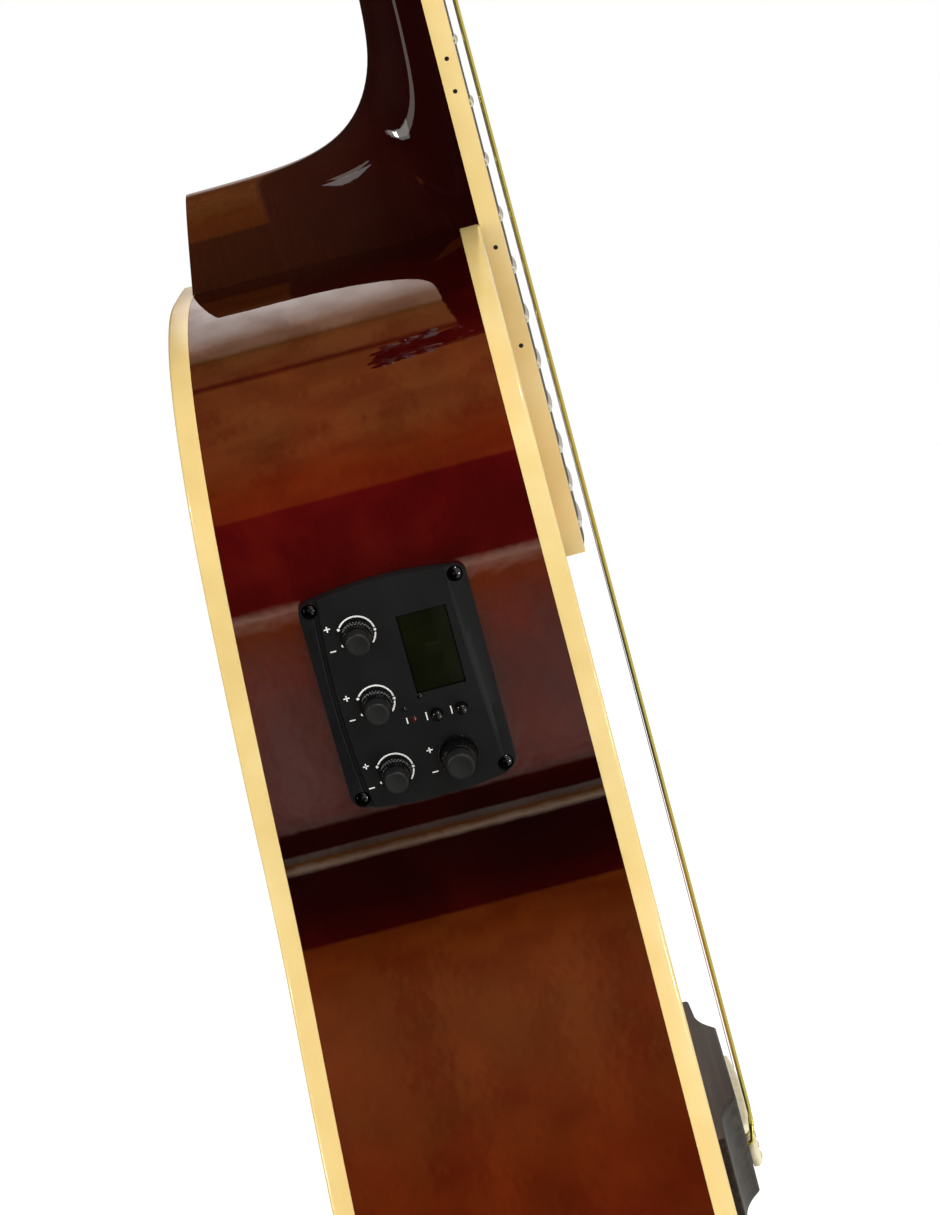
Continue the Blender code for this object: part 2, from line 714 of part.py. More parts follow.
def bar(name, start, end, width, height, group, dip=0.0, seat=None):
    """A glued brace along a plate: tapered ends, a rounded ridge and a scallop if asked.

    Start and end are (x, distance down). Seat gives the plate's inner face, None for the soundboard.
    """
    a = Vector((start[0], down(start[1])))
    b = Vector((end[0], down(end[1])))
    along = (b - a).normalized()
    side = Vector((-along.y, along.x)) * width / 2
    length = (b - a).length
    taper = min(26 * MM, length / 3)
    sections = []
    for share in (0, 0.6, 1):
        sections.append((share * taper, 0.25 + 0.75 * share ** 2))
    steps = 4 if dip else 1
    if seat:
        steps = round(length / BRACE_STEP)
    for i in range(1, steps):
        share = i / steps
        sections.append((taper + (length - 2 * taper) * share, 1 - dip * math.sin(math.pi * share) ** 2))
    for share in (1, 0.6, 0):
        sections.append((length - share * taper, 0.25 + 0.75 * share ** 2))
    rings = []
    for place, tall in sections:
        middle = a + along * place
        corners = ((-1, 0), (1, 0), (1, 0.6 * tall), (0, tall), (-1, 0.6 * tall))
        ring = []
        for across, up in corners:
            x, z = middle + side * across
            if seat:
                ring.append((x, seat(x, z) - up * height, z))
            else:
                ring.append((x, TOP_THICKNESS + GAP + up * height, z))
        rings.append(ring)
    brace = loft(name, rings, INNER_WOOD)
    if group:
        as_cutter(brace, group)
    return brace


def make_top_bracing():
    """X brace with its transverse bar, hole bars, fingers and tone bars, and the bridge plate."""
    group = make_collection("top_braces", CUTTERS)
    crossing = SOUNDHOLE_DOWN + SOUNDHOLE_RADIUS + 12 * MM
    slope = 0.85

    def on_leg(x):
        return (x, crossing + abs(x) * slope)

    legs = 112 * MM
    feet = 164 * MM
    brace = bar("top_bracing", (-legs, crossing - legs * slope), on_leg(feet), 8 * MM, 15 * MM, None, 0.35)
    bar("x_brace", (legs, crossing - legs * slope), on_leg(-feet), 8 * MM, 15.2 * MM, group, 0.35)
    across = SOUNDHOLE_DOWN - SOUNDHOLE_RADIUS - 5.2 * MM
    bar("transverse_brace", (-124 * MM, across), (120 * MM, across + 0.1 * MM), 8 * MM, 14 * MM, group)
    for sign in (-1, 1):
        bar("hole_brace", (sign * 55 * MM, across - 1 * MM), (sign * 66 * MM, SOUNDHOLE_DOWN + 14 * MM),
            7 * MM, 7 * MM, group)
        bar("finger_brace", (sign * 72 * MM, crossing + 61 * MM), (sign * 157 * MM, crossing + 84 * MM),
            6 * MM, 8 * MM, group)
        bar("lower_finger", (sign * 122 * MM, crossing + 100 * MM), (sign * 143 * MM, crossing + 174 * MM),
            6.2 * MM, 8 * MM, group)
    bar("tone_bar", (-104 * MM, crossing + 92 * MM), (92 * MM, crossing + 206 * MM), 7 * MM, 11 * MM, group)
    bar("lower_tone_bar", (-124 * MM, crossing + 106 * MM), (30 * MM, crossing + 232 * MM),
        7.2 * MM, 10 * MM, group)
    plate_top = -PIN_Z + JOINT_Z - 20 * MM
    pad = box("bridge_plate", (-88 * MM, TOP_THICKNESS + GAP, down(plate_top + 38 * MM)),
              (88 * MM, TOP_THICKNESS + GAP + BRIDGE_PLATE_THICKNESS, down(plate_top)))
    as_cutter(pad, group)
    boolean(brace, group, "UNION")
    boolean(brace, PIN_HOLES)
    wrench = cylinder("wrench_hole", ROD_NUT_RADIUS + 0.5 * MM, down(across + 20 * MM),
                      down(across - 20 * MM), sides=12, turn=Matrix.Translation((0, ROD_DEPTH + 1.5 * MM, 0)))
    boolean(brace, as_cutter(wrench))


def make_back_bracing():
    """Four ladder braces let into a centre strip."""
    group = make_collection("back_braces", CUTTERS)
    strip = bar("back_bracing", (0, NECK_BLOCK_LENGTH + 2 * MM), (0, BODY_LENGTH - 30 * MM),
                18 * MM, 3 * MM, None, seat=inner_back)
    places = ((102 * MM, 122 * MM, 8 * MM), (184 * MM, 112 * MM, 8 * MM),
              (272 * MM, 152 * MM, 14 * MM), (372 * MM, 166 * MM, 14 * MM))
    for distance, half, width in places:
        bar("ladder_brace", (-half, distance), (half, distance), width, 14 * MM, group, seat=inner_back)
    boolean(strip, group, "UNION")


# Neck

def shaft_section(z):
    """D-shaped section under the fretboard."""
    half = board_half(z)
    share = min(1, -z / -JOINT_Z)
    depth = SHAFT_DEPTH_NUT + (SHAFT_DEPTH_JOINT - SHAFT_DEPTH_NUT) * share
    return [(half * x, depth * y, z) for x, y in rounded_half(SHAFT_ROUNDNESS)]


def rounded_half(power, count=12):
    """Unit half superellipse from (-1, 0) over (0, 1) to (1, 0)."""
    points = []
    for i in range(count + 1):
        angle = math.pi * i / count
        c = math.cos(angle)
        x = -math.copysign(abs(c) ** (2 / power), c)
        points.append((x, math.sin(angle) ** (2 / power)))
    return points


def head_half(along):
    """Half width of the headstock at a distance up from the nut."""
    if along < HEAD_FLARE_LENGTH:
        share = max(0, along / HEAD_FLARE_LENGTH)
        ease = share * share * (3 - 2 * share)
        return HEAD_NECK_HALF + (HEAD_LOW_HALF - HEAD_NECK_HALF) * ease
    crown = HEAD_LENGTH - HEAD_CROWN_LENGTH
    share = (min(along, crown) - HEAD_FLARE_LENGTH) / (crown - HEAD_FLARE_LENGTH)
    half = HEAD_LOW_HALF + (HEAD_TOP_HALF - HEAD_LOW_HALF) * share
    if along > crown:
        half *= max(0, 1 - ((along - crown) / HEAD_CROWN_LENGTH) ** 2) ** 0.5 * 0.55 + 0.45
    return half


HEAD_STATIONS = [share * HEAD_FLARE_LENGTH for share in (0.04, 0.25, 0.5, 0.75, 1)]
HEAD_STATIONS += [HEAD_LENGTH - HEAD_CROWN_LENGTH * share for share in (1, 0.6, 0.3, 0.12, 0)]


def head_section(along):
    """Section of the headstock, squarer and squarer above the volute."""
    ease = min(1, max(0, along / HEAD_FLARE_LENGTH))
    power = SHAFT_ROUNDNESS + 10 * ease ** 1.5
    half = head_half(along)
    depth = SHAFT_DEPTH_NUT + 0.8 * MM + (HEAD_THICKNESS - SHAFT_DEPTH_NUT - 0.8 * MM) * ease
    return [on_head(half * x, along, -depth * y) for x, y in rounded_half(power)]


def heel_section(y, flat=False):
    """Outline of the heel at a depth: a half ellipse that reaches out from the joint."""
    reach = HEEL_REACH + HEEL_FLARE * math.exp((HEEL_FLARE_FROM - y) / HEEL_FLARE_FALL)
    half = HEEL_HALF_WIDTH + HEEL_SPREAD * math.exp((HEEL_SPREAD_FROM - y) / HEEL_SPREAD_FALL)
    ring = []
    for angle in [math.pi * i / 12 for i in range(13)]:
        z = down(-GAP) + reach * math.sin(angle) ** 0.9
        rise = HEEL_CAP_RISE * (z - JOINT_Z) / HEEL_REACH if flat else 0
        ring.append((-half * math.cos(angle), y - rise, z))
    return ring


def make_neck():
    """Shaft, volute and headstock lofted in one, with the heel and its tenon joined on."""
    sections = [shaft_section(z) for z in (JOINT_Z + GAP, JOINT_Z * 0.66, JOINT_Z * 0.33, -10 * MM, 0)]
    sections += [head_section(along) for along in HEAD_STATIONS]
    neck = loft("neck", sections, MAHOGANY)
    rings = [heel_section(level * MM) for level in HEEL_LEVELS]
    rings.append(heel_section(HEEL_DEPTH, flat=True))
    boolean(neck, as_cutter(loft("heel", rings, MAHOGANY)), "UNION")
    tenon = box("tenon", (-TENON_HALF_WIDTH, BINDING_HEIGHT + 2 * GAP, down(TENON_LENGTH)),
                (TENON_HALF_WIDTH, BINDING_HEIGHT + 2 * GAP + TENON_DEPTH, down(-8 * MM)))
    boolean(neck, as_cutter(tenon), "UNION")
    half = ROD_BAR_WIDTH / 2 + GAP
    channel = box("rod_channel", (-half, -5 * MM, down(TENON_LENGTH + 5 * MM)),
                  (half, ROD_DEPTH + ROD_RADIUS + GAP, -6 * MM))
    boolean(neck, as_cutter(channel))
    boolean(neck, TUNER_HOLES)
    smooth(neck, 40)


def make_truss_rod():
    """Two-way rod: a flat bar over a round one, with end blocks and the adjusting nut."""
    low = JOINT_Z + 4 * MM
    group = make_collection("rod_parts", CUTTERS)
    half = ROD_BAR_WIDTH / 2
    rod = cylinder("truss_rod", ROD_RADIUS, down(NECK_BLOCK_LENGTH + 6 * MM), -12 * MM, STEEL, sides=8,
                   turn=Matrix.Translation((0, ROD_DEPTH, 0)))
    as_cutter(box("rod_bar", (-half, 1.2 * MM, low), (half, 4.2 * MM, -9 * MM)), group)
    for place in (-20 * MM, low):
        block = box("rod_end", (-half + 0.01 * MM, 1.25 * MM, place),
                    (half - 0.01 * MM, 11 * MM, place + 9 * MM))
        as_cutter(block, group)
    nut = cylinder("rod_nut", ROD_NUT_RADIUS, down(NECK_BLOCK_LENGTH + 3 * MM + ROD_NUT_LENGTH),
                   down(NECK_BLOCK_LENGTH + 3 * MM), sides=6, turn=Matrix.Translation((0, ROD_DEPTH, 0)))
    as_cutter(nut, group)
    boolean(rod, group, "UNION")


def make_fretboard():
    """Crowned board with its frets pressed in, between the strips of its binding."""
    end = -BOARD_LENGTH + BOARD_BINDING + GAP
    rim = BOARD_BINDING + GAP
    sections = []
    for z in (-GAP / 2, end):
        half = board_half(z) - rim
        ring = [(half * share, board_top(half * share, z), z) for share in (-1, -0.5, 0, 0.5, 1)]
        ring += [(half, -GAP, z), (-half, -GAP, z)]
        sections.append(ring)
    board = loft("fretboard", sections, ROSEWOOD)
    wires = make_collection("fret_wires", CUTTERS)
    for number in range(1, FRET_COUNT + 1):
        z = -fret_distance(number)
        full = board_half(z)
        wood = full - rim
        stations = [(full - 0.2 * MM, False), (wood + 0.15 * MM, False), (wood - 0.7 * MM, True)]
        stations = [(-x, sunk) for x, sunk in stations] + [(0, True)] + stations[::-1]
        rings = []
        for x, sunk in stations:
            top = board_top(x, z)
            foot = FRET_SINK if sunk else -GAP
            crown = top - FRET_HEIGHT
            rings.append([(x, top + foot, z - FRET_FOOT / 2), (x, crown, z - FRET_CROWN / 2),
                          (x, crown, z + FRET_CROWN / 2), (x, top + foot, z + FRET_FOOT / 2)])
        as_cutter(loft(f"fret_{number}", rings, STEEL), wires)
    boolean(board, wires, "UNION")


def make_fretboard_binding():
    """Cream strip down both edges of the board and across its end."""
    end = -BOARD_LENGTH
    top_half = board_half(0)
    low_half = board_half(end)
    inner = end + BOARD_BINDING
    outline = [(-top_half, -GAP / 2), (-low_half, end), (low_half, end), (top_half, -GAP / 2),
               (top_half - BOARD_BINDING, -GAP / 2), (board_half(inner) - BOARD_BINDING, inner),
               (-board_half(inner) + BOARD_BINDING, inner), (-top_half + BOARD_BINDING, -GAP / 2)]
    plate("fretboard_binding", outline, -GAP - BOARD_EDGE, -GAP, IVOROID)


def string_at_nut(index):
    """Centre of a string over the nut."""
    x = string_x(index, STRING_SPREAD_NUT)
    return Vector((x, board_top(x, 0) - STRING_ABOVE_BOARD, GAP + NUT_THICKNESS / 2))


def make_nut():
    """Bone nut with a rounded back edge and one open slot a string."""
    half = board_half(0) - 0.1 * MM
    low = GAP
    high = GAP + NUT_THICKNESS
    ring = [(-GAP, low), (-NUT_HEIGHT, low), (-NUT_HEIGHT, low + 2 * MM),
            (-NUT_HEIGHT + 1.2 * MM, high - 0.8 * MM), (-NUT_HEIGHT + 2.6 * MM, high), (-GAP, high)]
    nut = loft("nut", [[(x, y, z) for y, z in ring] for x in (-half, half)], BONE)
    slots = make_collection("nut_slots", CUTTERS)
    for index, diameter in enumerate(STRING_DIAMETERS):
        centre = string_at_nut(index)
        wide = diameter / 2 + GAP
        slot = box(f"nut_slot_{index + 1}", (centre.x - wide, -NUT_HEIGHT - 3 * MM, low - 2 * MM),
                   (centre.x + wide, centre.y + wide, high + 2 * MM))
        as_cutter(slot, slots)
    boolean(nut, slots)


def make_veneer():
    """Headstock overlay, drilled for the tuners."""
    sections = []
    for along in HEAD_STATIONS:
        half = head_half(along)
        face = GAP + VENEER_THICKNESS
        sections.append([on_head(-half, along, GAP), on_head(half, along, GAP),
                         on_head(half, along, face), on_head(-half, along, face)])
    veneer = loft("headstock_veneer", sections, ROSEWOOD)
    boolean(veneer, TUNER_HOLES)


# Tuners

def tuner_place(index):
    """Post axis of a string on the headstock: outward sign, x and distance up."""
    row = index if index < 3 else STRING_COUNT - 1 - index
    sign = -1 if index < 3 else 1
    return sign, sign * (TUNER_FIRST_OUT + row * TUNER_OUT_GAIN), TUNER_FIRST + row * TUNER_PITCH


def tuner_matrix(index):
    """Frame of a tuner: Z along the post to the front, X out to its button."""
    sign, x, along = tuner_place(index)
    turn = Matrix.Rotation(0 if sign > 0 else math.pi, 4, "Z")
    return HEAD_MATRIX @ Matrix.Translation((x, along, 0)) @ turn


TUNER_HOLES = make_collection("tuner_holes", CUTTERS)


def drill_tuner_holes():
    for index in range(STRING_COUNT):
        hole = cylinder(f"tuner_hole_{index + 1}", BUSH_RADIUS + GAP, -30 * MM, 10 * MM, sides=12,
                        turn=tuner_matrix(index))
        as_cutter(hole, TUNER_HOLES)


def make_tuner(index):
    """Sealed machine: gearbox and bushing, the post, and the button on the worm's shaft."""
    number = index + 1
    frame = empty_at(f"tuner_axis_{number}", tuner_matrix(index))
    seat = -HEAD_THICKNESS - GAP
    worm_z = seat - GEARBOX_DEPTH / 2
    housing = box(f"tuner_housing_{number}", (-GEARBOX_IN, -GEARBOX_FRONT, seat - GEARBOX_DEPTH),
                  (GEARBOX_OUT, GEARBOX_BACK, seat), CHROME, frame, bevel=1.6 * MM)
    group = make_collection(f"tuner_tools_{number}", CUTTERS)
    face = GAP + VENEER_THICKNESS + GAP
    inside = seat - 2 * MM
    bush_profile = [(0, BUSH_TOP), (BUSH_FLANGE - 0.8 * MM, BUSH_TOP), (BUSH_FLANGE, face + 1 * MM),
                    (BUSH_FLANGE, face), (BUSH_RADIUS, face), (BUSH_RADIUS, inside), (0, inside)]
    as_cutter(turned(f"bush_{number}", bush_profile, None, frame, 10), group)
    sideways = Matrix.Translation((0, -WORM_OFFSET, worm_z)) @ Matrix.Rotation(math.pi / 2, 4, "Y")
    neck_piece = cylinder(f"worm_neck_{number}", WORM_COLLAR, WORM_SHAFT_START, WORM_NECK_END,
                          None, frame, 8, sideways)
    as_cutter(neck_piece, group)
    boolean(housing, group, "UNION")
    bores = make_collection(f"tuner_bores_{number}", CUTTERS)
    bore = cylinder(f"post_bore_{number}", POST_RADIUS + RUNNING_GAP, -POST_BOTTOM - 0.5 * MM,
                    BUSH_TOP + 5 * MM, None, frame, 10)
    as_cutter(bore, bores)
    worm_bore = cylinder(f"worm_bore_{number}", WORM_SHAFT + RUNNING_GAP, 4 * MM, 20 * MM,
                         None, frame, 8, sideways)
    as_cutter(worm_bore, bores)
    boolean(housing, bores)

    post_profile = [(0, POST_TOP), (POST_RADIUS - 0.9 * MM, POST_TOP), (POST_RADIUS, POST_TOP - 1 * MM),
                    (POST_RADIUS, 12.6 * MM), (POST_WAIST, 12 * MM), (POST_WAIST, 5.2 * MM),
                    (POST_RADIUS, 4.8 * MM), (POST_RADIUS, -POST_BOTTOM), (0, -POST_BOTTOM)]
    post = turned(f"tuner_post_{number}", post_profile, CHROME, frame, 10)
    eye = cylinder(f"string_eye_{number}", POST_EYE_RADIUS, -8 * MM, 8 * MM, None, frame, 6,
                   Matrix.Translation((0, 0, POST_EYE)) @ Matrix.Rotation(math.pi / 2, 4, "X"))
    boolean(post, as_cutter(eye))

    axis = empty_at(f"button_axis_{number}", Matrix.Translation((0, -WORM_OFFSET, worm_z)), frame)
    across = Matrix.Rotation(math.pi / 2, 4, "Y")

    def build_grip(bm):
        shape = Matrix.Translation((BUTTON_CENTRE, 0, 0)) @ Matrix.Diagonal(
            (BUTTON_HALF_LENGTH, BUTTON_HALF_WIDTH, BUTTON_HALF_THICKNESS, 1))
        bmesh.ops.create_uvsphere(bm, u_segments=10, v_segments=6, radius=1, matrix=shape)

    grip = to_mesh(f"tuner_button_{number}", build_grip, CHROME, axis)
    smooth(grip, 60)
    shafts = make_collection(f"button_shafts_{number}", CUTTERS)
    bars = (("worm_shaft", WORM_SHAFT, WORM_SHAFT_START, BUTTON_CENTRE),
            ("shaft_collar", WORM_COLLAR, WORM_NECK_END + GAP, WORM_COLLAR_END + GAP))
    for name, radius, low, high in bars:
        as_cutter(cylinder(f"{name}_{number}", radius, low, high, None, axis, 8, across), shafts)
    boolean(grip, shafts, "UNION")


# Bridge, pins and strings

PIN_HOLES = make_collection("pin_holes", CUTTERS)


def string_behind_pin(index):
    """Distance from a pin's axis to the string that comes up in front of it."""
    return PIN_HEAD_RADIUS + GAP + STRING_DIAMETERS[index] / 2


def drill_pin_holes():
    """Keyhole cutters: a round hole for each pin and a slot for its string."""
    for index in range(STRING_COUNT):
        x = string_x(index, STRING_SPREAD_BRIDGE)
        radius = PIN_RADIUS + GAP
        slot = STRING_DIAMETERS[index] / 2 + GAP
        front = string_behind_pin(index) + slot
        start = math.asin(slot / radius)
        outline = [(x + slot, PIN_Z + front), (x - slot, PIN_Z + front)]
        for i in range(7):
            angle = math.pi / 2 + start + (2 * math.pi - 2 * start) * i / 6
            outline.append((x + radius * math.cos(angle), PIN_Z + radius * math.sin(angle)))
        hole = plate(f"pin_hole_{index + 1}", outline, -14 * MM, 8 * MM, None)
        as_cutter(hole, PIN_HOLES)


def make_bridge():
    """Block with scooped wings, the slanted saddle slot and the pin holes."""
    half = [(0, BRIDGE_HEIGHT), (BRIDGE_HALF_BLOCK, BRIDGE_HEIGHT)]
    for i in range(1, 6):
        share = i / 5
        rise = BRIDGE_WING + (BRIDGE_HEIGHT - 0.6 * MM - BRIDGE_WING) * (1 - share) ** 2
        half.append((BRIDGE_HALF_BLOCK + 1.2 * MM + BRIDGE_RAMP * share, rise))
    half.append((BRIDGE_HALF_LENGTH, BRIDGE_WING - 0.6 * MM))
    half.append((BRIDGE_HALF_LENGTH, GAP))
    profile = half[1:] + [(-x, h) for x, h in half[:0:-1]]
    back = -SCALE_LENGTH - BRIDGE_BEHIND
    front = -SCALE_LENGTH + BRIDGE_AHEAD
    bridge = loft("bridge", [[(x, -h, z) for x, h in profile] for z in (back, front)], ROSEWOOD)
    rounding = bridge.modifiers.new("rounded_edges", "BEVEL")
    rounding.width = 0.8 * MM
    rounding.segments = 1
    rounding.limit_method = "ANGLE"
    rounding.angle_limit = math.radians(50)
    slant = Matrix.Translation((0, 0, saddle_z(0))) @ Matrix.Rotation(-SADDLE_SLANT, 4, "Y")
    long = SADDLE_HALF_LENGTH + GAP
    thick = SADDLE_THICKNESS / 2 + GAP
    slot = box("saddle_slot", (-long, -BRIDGE_HEIGHT - 5 * MM, -thick),
               (long, -BRIDGE_HEIGHT + SADDLE_SLOT_DEPTH, thick))
    slot.matrix_world = slant
    boolean(bridge, as_cutter(slot))
    boolean(bridge, PIN_HOLES)

    floor = -BRIDGE_HEIGHT + SADDLE_SLOT_DEPTH - GAP
    strip = SADDLE_THICKNESS / 2 - 0.2 * MM
    pickup = box("saddle_pickup", (-SADDLE_HALF_LENGTH, floor - PICKUP_HEIGHT, -strip),
                 (SADDLE_HALF_LENGTH, floor, strip), STEEL)
    pickup.matrix_world = slant
    bottom = floor - PICKUP_HEIGHT - GAP
    sections = []
    for share in (-1, -0.94, -0.6, -0.2, 0.2, 0.6, 0.94, 1):
        x = share * SADDLE_HALF_LENGTH
        top = saddle_top(x) + (1.5 * MM if abs(share) == 1 else 0)
        edge = SADDLE_THICKNESS / 2
        shoulder = top + 0.9 * MM
        sections.append([(x, bottom, -edge), (x, shoulder, -edge), (x, top, -edge * 0.35),
                         (x, top, edge * 0.35), (x, shoulder, edge), (x, bottom, edge)])
    saddle = loft("saddle", sections, BONE)
    saddle.matrix_world = slant
    smooth(saddle, 50)


def saddle_top(x):
    """Height y of the saddle's crest, crowned like the board."""
    return -(SADDLE_CREST - x ** 2 / (2 * BOARD_RADIUS))


def make_pins():
    """Bridge pins: a domed head over a tapered shank."""
    for index in range(STRING_COUNT):
        lie = -BRIDGE_HEIGHT - GAP
        length = BRIDGE_HEIGHT + TOP_THICKNESS + BRIDGE_PLATE_THICKNESS
        profile = [(0, PIN_HEAD_HEIGHT), (PIN_HEAD_RADIUS * 0.6, PIN_HEAD_HEIGHT * 0.85),
                   (PIN_HEAD_RADIUS, PIN_HEAD_HEIGHT * 0.35), (PIN_HEAD_RADIUS * 0.9, 0), (PIN_RADIUS, 0),
                   (PIN_TIP_RADIUS, -length), (0, -length - 0.6 * MM)]
        pin = turned(f"bridge_pin_{index + 1}", profile, BONE, steps=8)
        place = Vector((string_x(index, STRING_SPREAD_BRIDGE), lie, PIN_Z))
        pin.matrix_world = Matrix.Translation(place) @ Matrix.Rotation(math.pi / 2, 4, "X")


def tangent_angle(point, centre, radius, side):
    """Angle on a circle where the line from an outside point touches it, on the given side."""
    away = Vector(point) - Vector(centre)
    return math.atan2(away.y, away.x) + side * math.acos(radius / away.length)


def winding(index):
    """The string from the nut to its post and round it, in the headstock's x, up and proud."""
    radius = STRING_DIAMETERS[index] / 2
    sign, x, along = tuner_place(index)
    reach = POST_WAIST + GAP + radius
    nut_point = HEAD_MATRIX.inverted() @ string_at_nut(index)
    start = tangent_angle((nut_point.x, nut_point.y), (x, along), reach, -sign)
    pitch = STRING_DIAMETERS[index] + WINDING_CLEARANCE
    lowest = BUSH_TOP + 2 * GAP + radius
    turns = STRING_TURNS[index]
    points = []
    for i in range(int(turns * LOOP_POINTS) + 1):
        turn = i / LOOP_POINTS
        angle = start - sign * 2 * math.pi * turn
        climb = lowest + pitch * turn
        points.append(Vector((x + reach * math.cos(angle), along + reach * math.sin(angle), climb)))
    heading = (points[-1] - points[-2]).normalized()
    points.append(points[-1] + heading * (3 * radius + 1.2 * MM))
    return [HEAD_MATRIX @ point for point in points]


def string_route(index):
    """Centre points and radii of a string from its ball under the plate to its end at the post."""
    radius = STRING_DIAMETERS[index] / 2
    x = string_x(index, STRING_SPREAD_BRIDGE)
    z = PIN_Z + string_behind_pin(index)
    under = TOP_THICKNESS + GAP + BRIDGE_PLATE_THICKNESS + GAP
    points = [Vector((x, under + BALL_LENGTH, z)), Vector((x, under + 0.5 * MM, z)), Vector((x, under, z))]
    radii = [BALL_RADIUS, BALL_RADIUS, radius]
    bend = 1.6 * MM
    rise = -BRIDGE_HEIGHT - GAP
    saddle = saddle_z(x)
    over = saddle_top(x) - radius - GAP
    centre = (z + bend, rise)
    leave = tangent_angle((saddle, over), centre, bend, -1)
    for i in range(5):
        angle = math.pi + (leave % (2 * math.pi) - math.pi) * i / 4
        points.append(Vector((x, centre[1] + bend * math.sin(angle), centre[0] + bend * math.cos(angle))))
        radii.append(radius)
    nut = string_at_nut(index)
    crest = Vector((x, over, saddle))
    for point in (crest - Vector((0, -0.15 * MM, 0.9 * MM)), crest.lerp(nut, 0.001), nut.lerp(crest, 0.003),
                  nut + Vector((0, 0.05 * MM, 1.6 * MM))):
        points.append(point)
        radii.append(radius)
    for point in winding(index):
        points.append(point)
        radii.append(radius)
    return points, radii


def least_gap(points, diameter, apart):
    """Smallest clear distance between stretches of a tube that are further apart along it."""
    walked = [0.0]
    for before, after in zip(points, points[1:]):
        walked.append(walked[-1] + (after - before).length)
    best = 1.0
    for i, first in enumerate(points):
        for j in range(i + 1, len(points)):
            if walked[j] - walked[i] > apart:
                best = min(best, (points[j] - first).length)
    return best - diameter


def make_strings():
    """Each string is one tube, ball to winding, held by pin, saddle, nut and post."""
    for index, diameter in enumerate(STRING_DIAMETERS):
        points, radii = string_route(index)
        wire = tube(f"string_{index + 1}", points, radii, BRONZE if diameter > 0.5 * MM else STEEL)
        wound = winding(index)
        half_turn = math.pi * (POST_WAIST + diameter)
        print(f"{wire.name}: least gap between its turns {least_gap(wound, diameter, half_turn) / MM:.2f} mm")


# Preamp and jack

def panel_matrix():
    top = Vector((-UPPER_BOUT, 0, down(UPPER_BOUT_DOWN)))
    bottom = Vector((-PANEL_RUN_END, 0, down(PANEL_RUN_DOWN)))
    head = (top - bottom).normalized()
    right = Vector((0, -1, 0))
    out = right.cross(head)
    share = (PANEL_CENTRE_DOWN - UPPER_BOUT_DOWN) / (PANEL_RUN_DOWN - UPPER_BOUT_DOWN)
    centre = top.lerp(bottom, share) + Vector((0, PANEL_CENTRE_DEPTH, 0))
    turn = Matrix((right, head, out)).transposed().to_4x4()
    return Matrix.Translation(centre) @ turn


def panel_outline():
    """Rounded corners with the short edges bowed outwards."""
    points = []
    corner = PANEL_CORNER
    for turn in range(4):
        sx = 1 if turn in (0, 3) else -1
        sy = 1 if turn in (0, 1) else -1
        cx = sx * (PANEL_HALF_WIDTH - corner)
        cy = sy * (PANEL_HALF_HEIGHT - PANEL_BOW - corner)
        for i in range(4):
            angle = math.pi / 2 * (turn + i / 3)
            points.append((cx + corner * math.cos(angle), cy + corner * math.sin(angle)))
        if turn in (0, 2):
            for share in (0.6, 0.2, -0.2, -0.6):
                x = share * sx * (PANEL_HALF_WIDTH - corner)
                points.append((x, sy * (PANEL_HALF_HEIGHT - PANEL_BOW * share ** 2)))
    return points


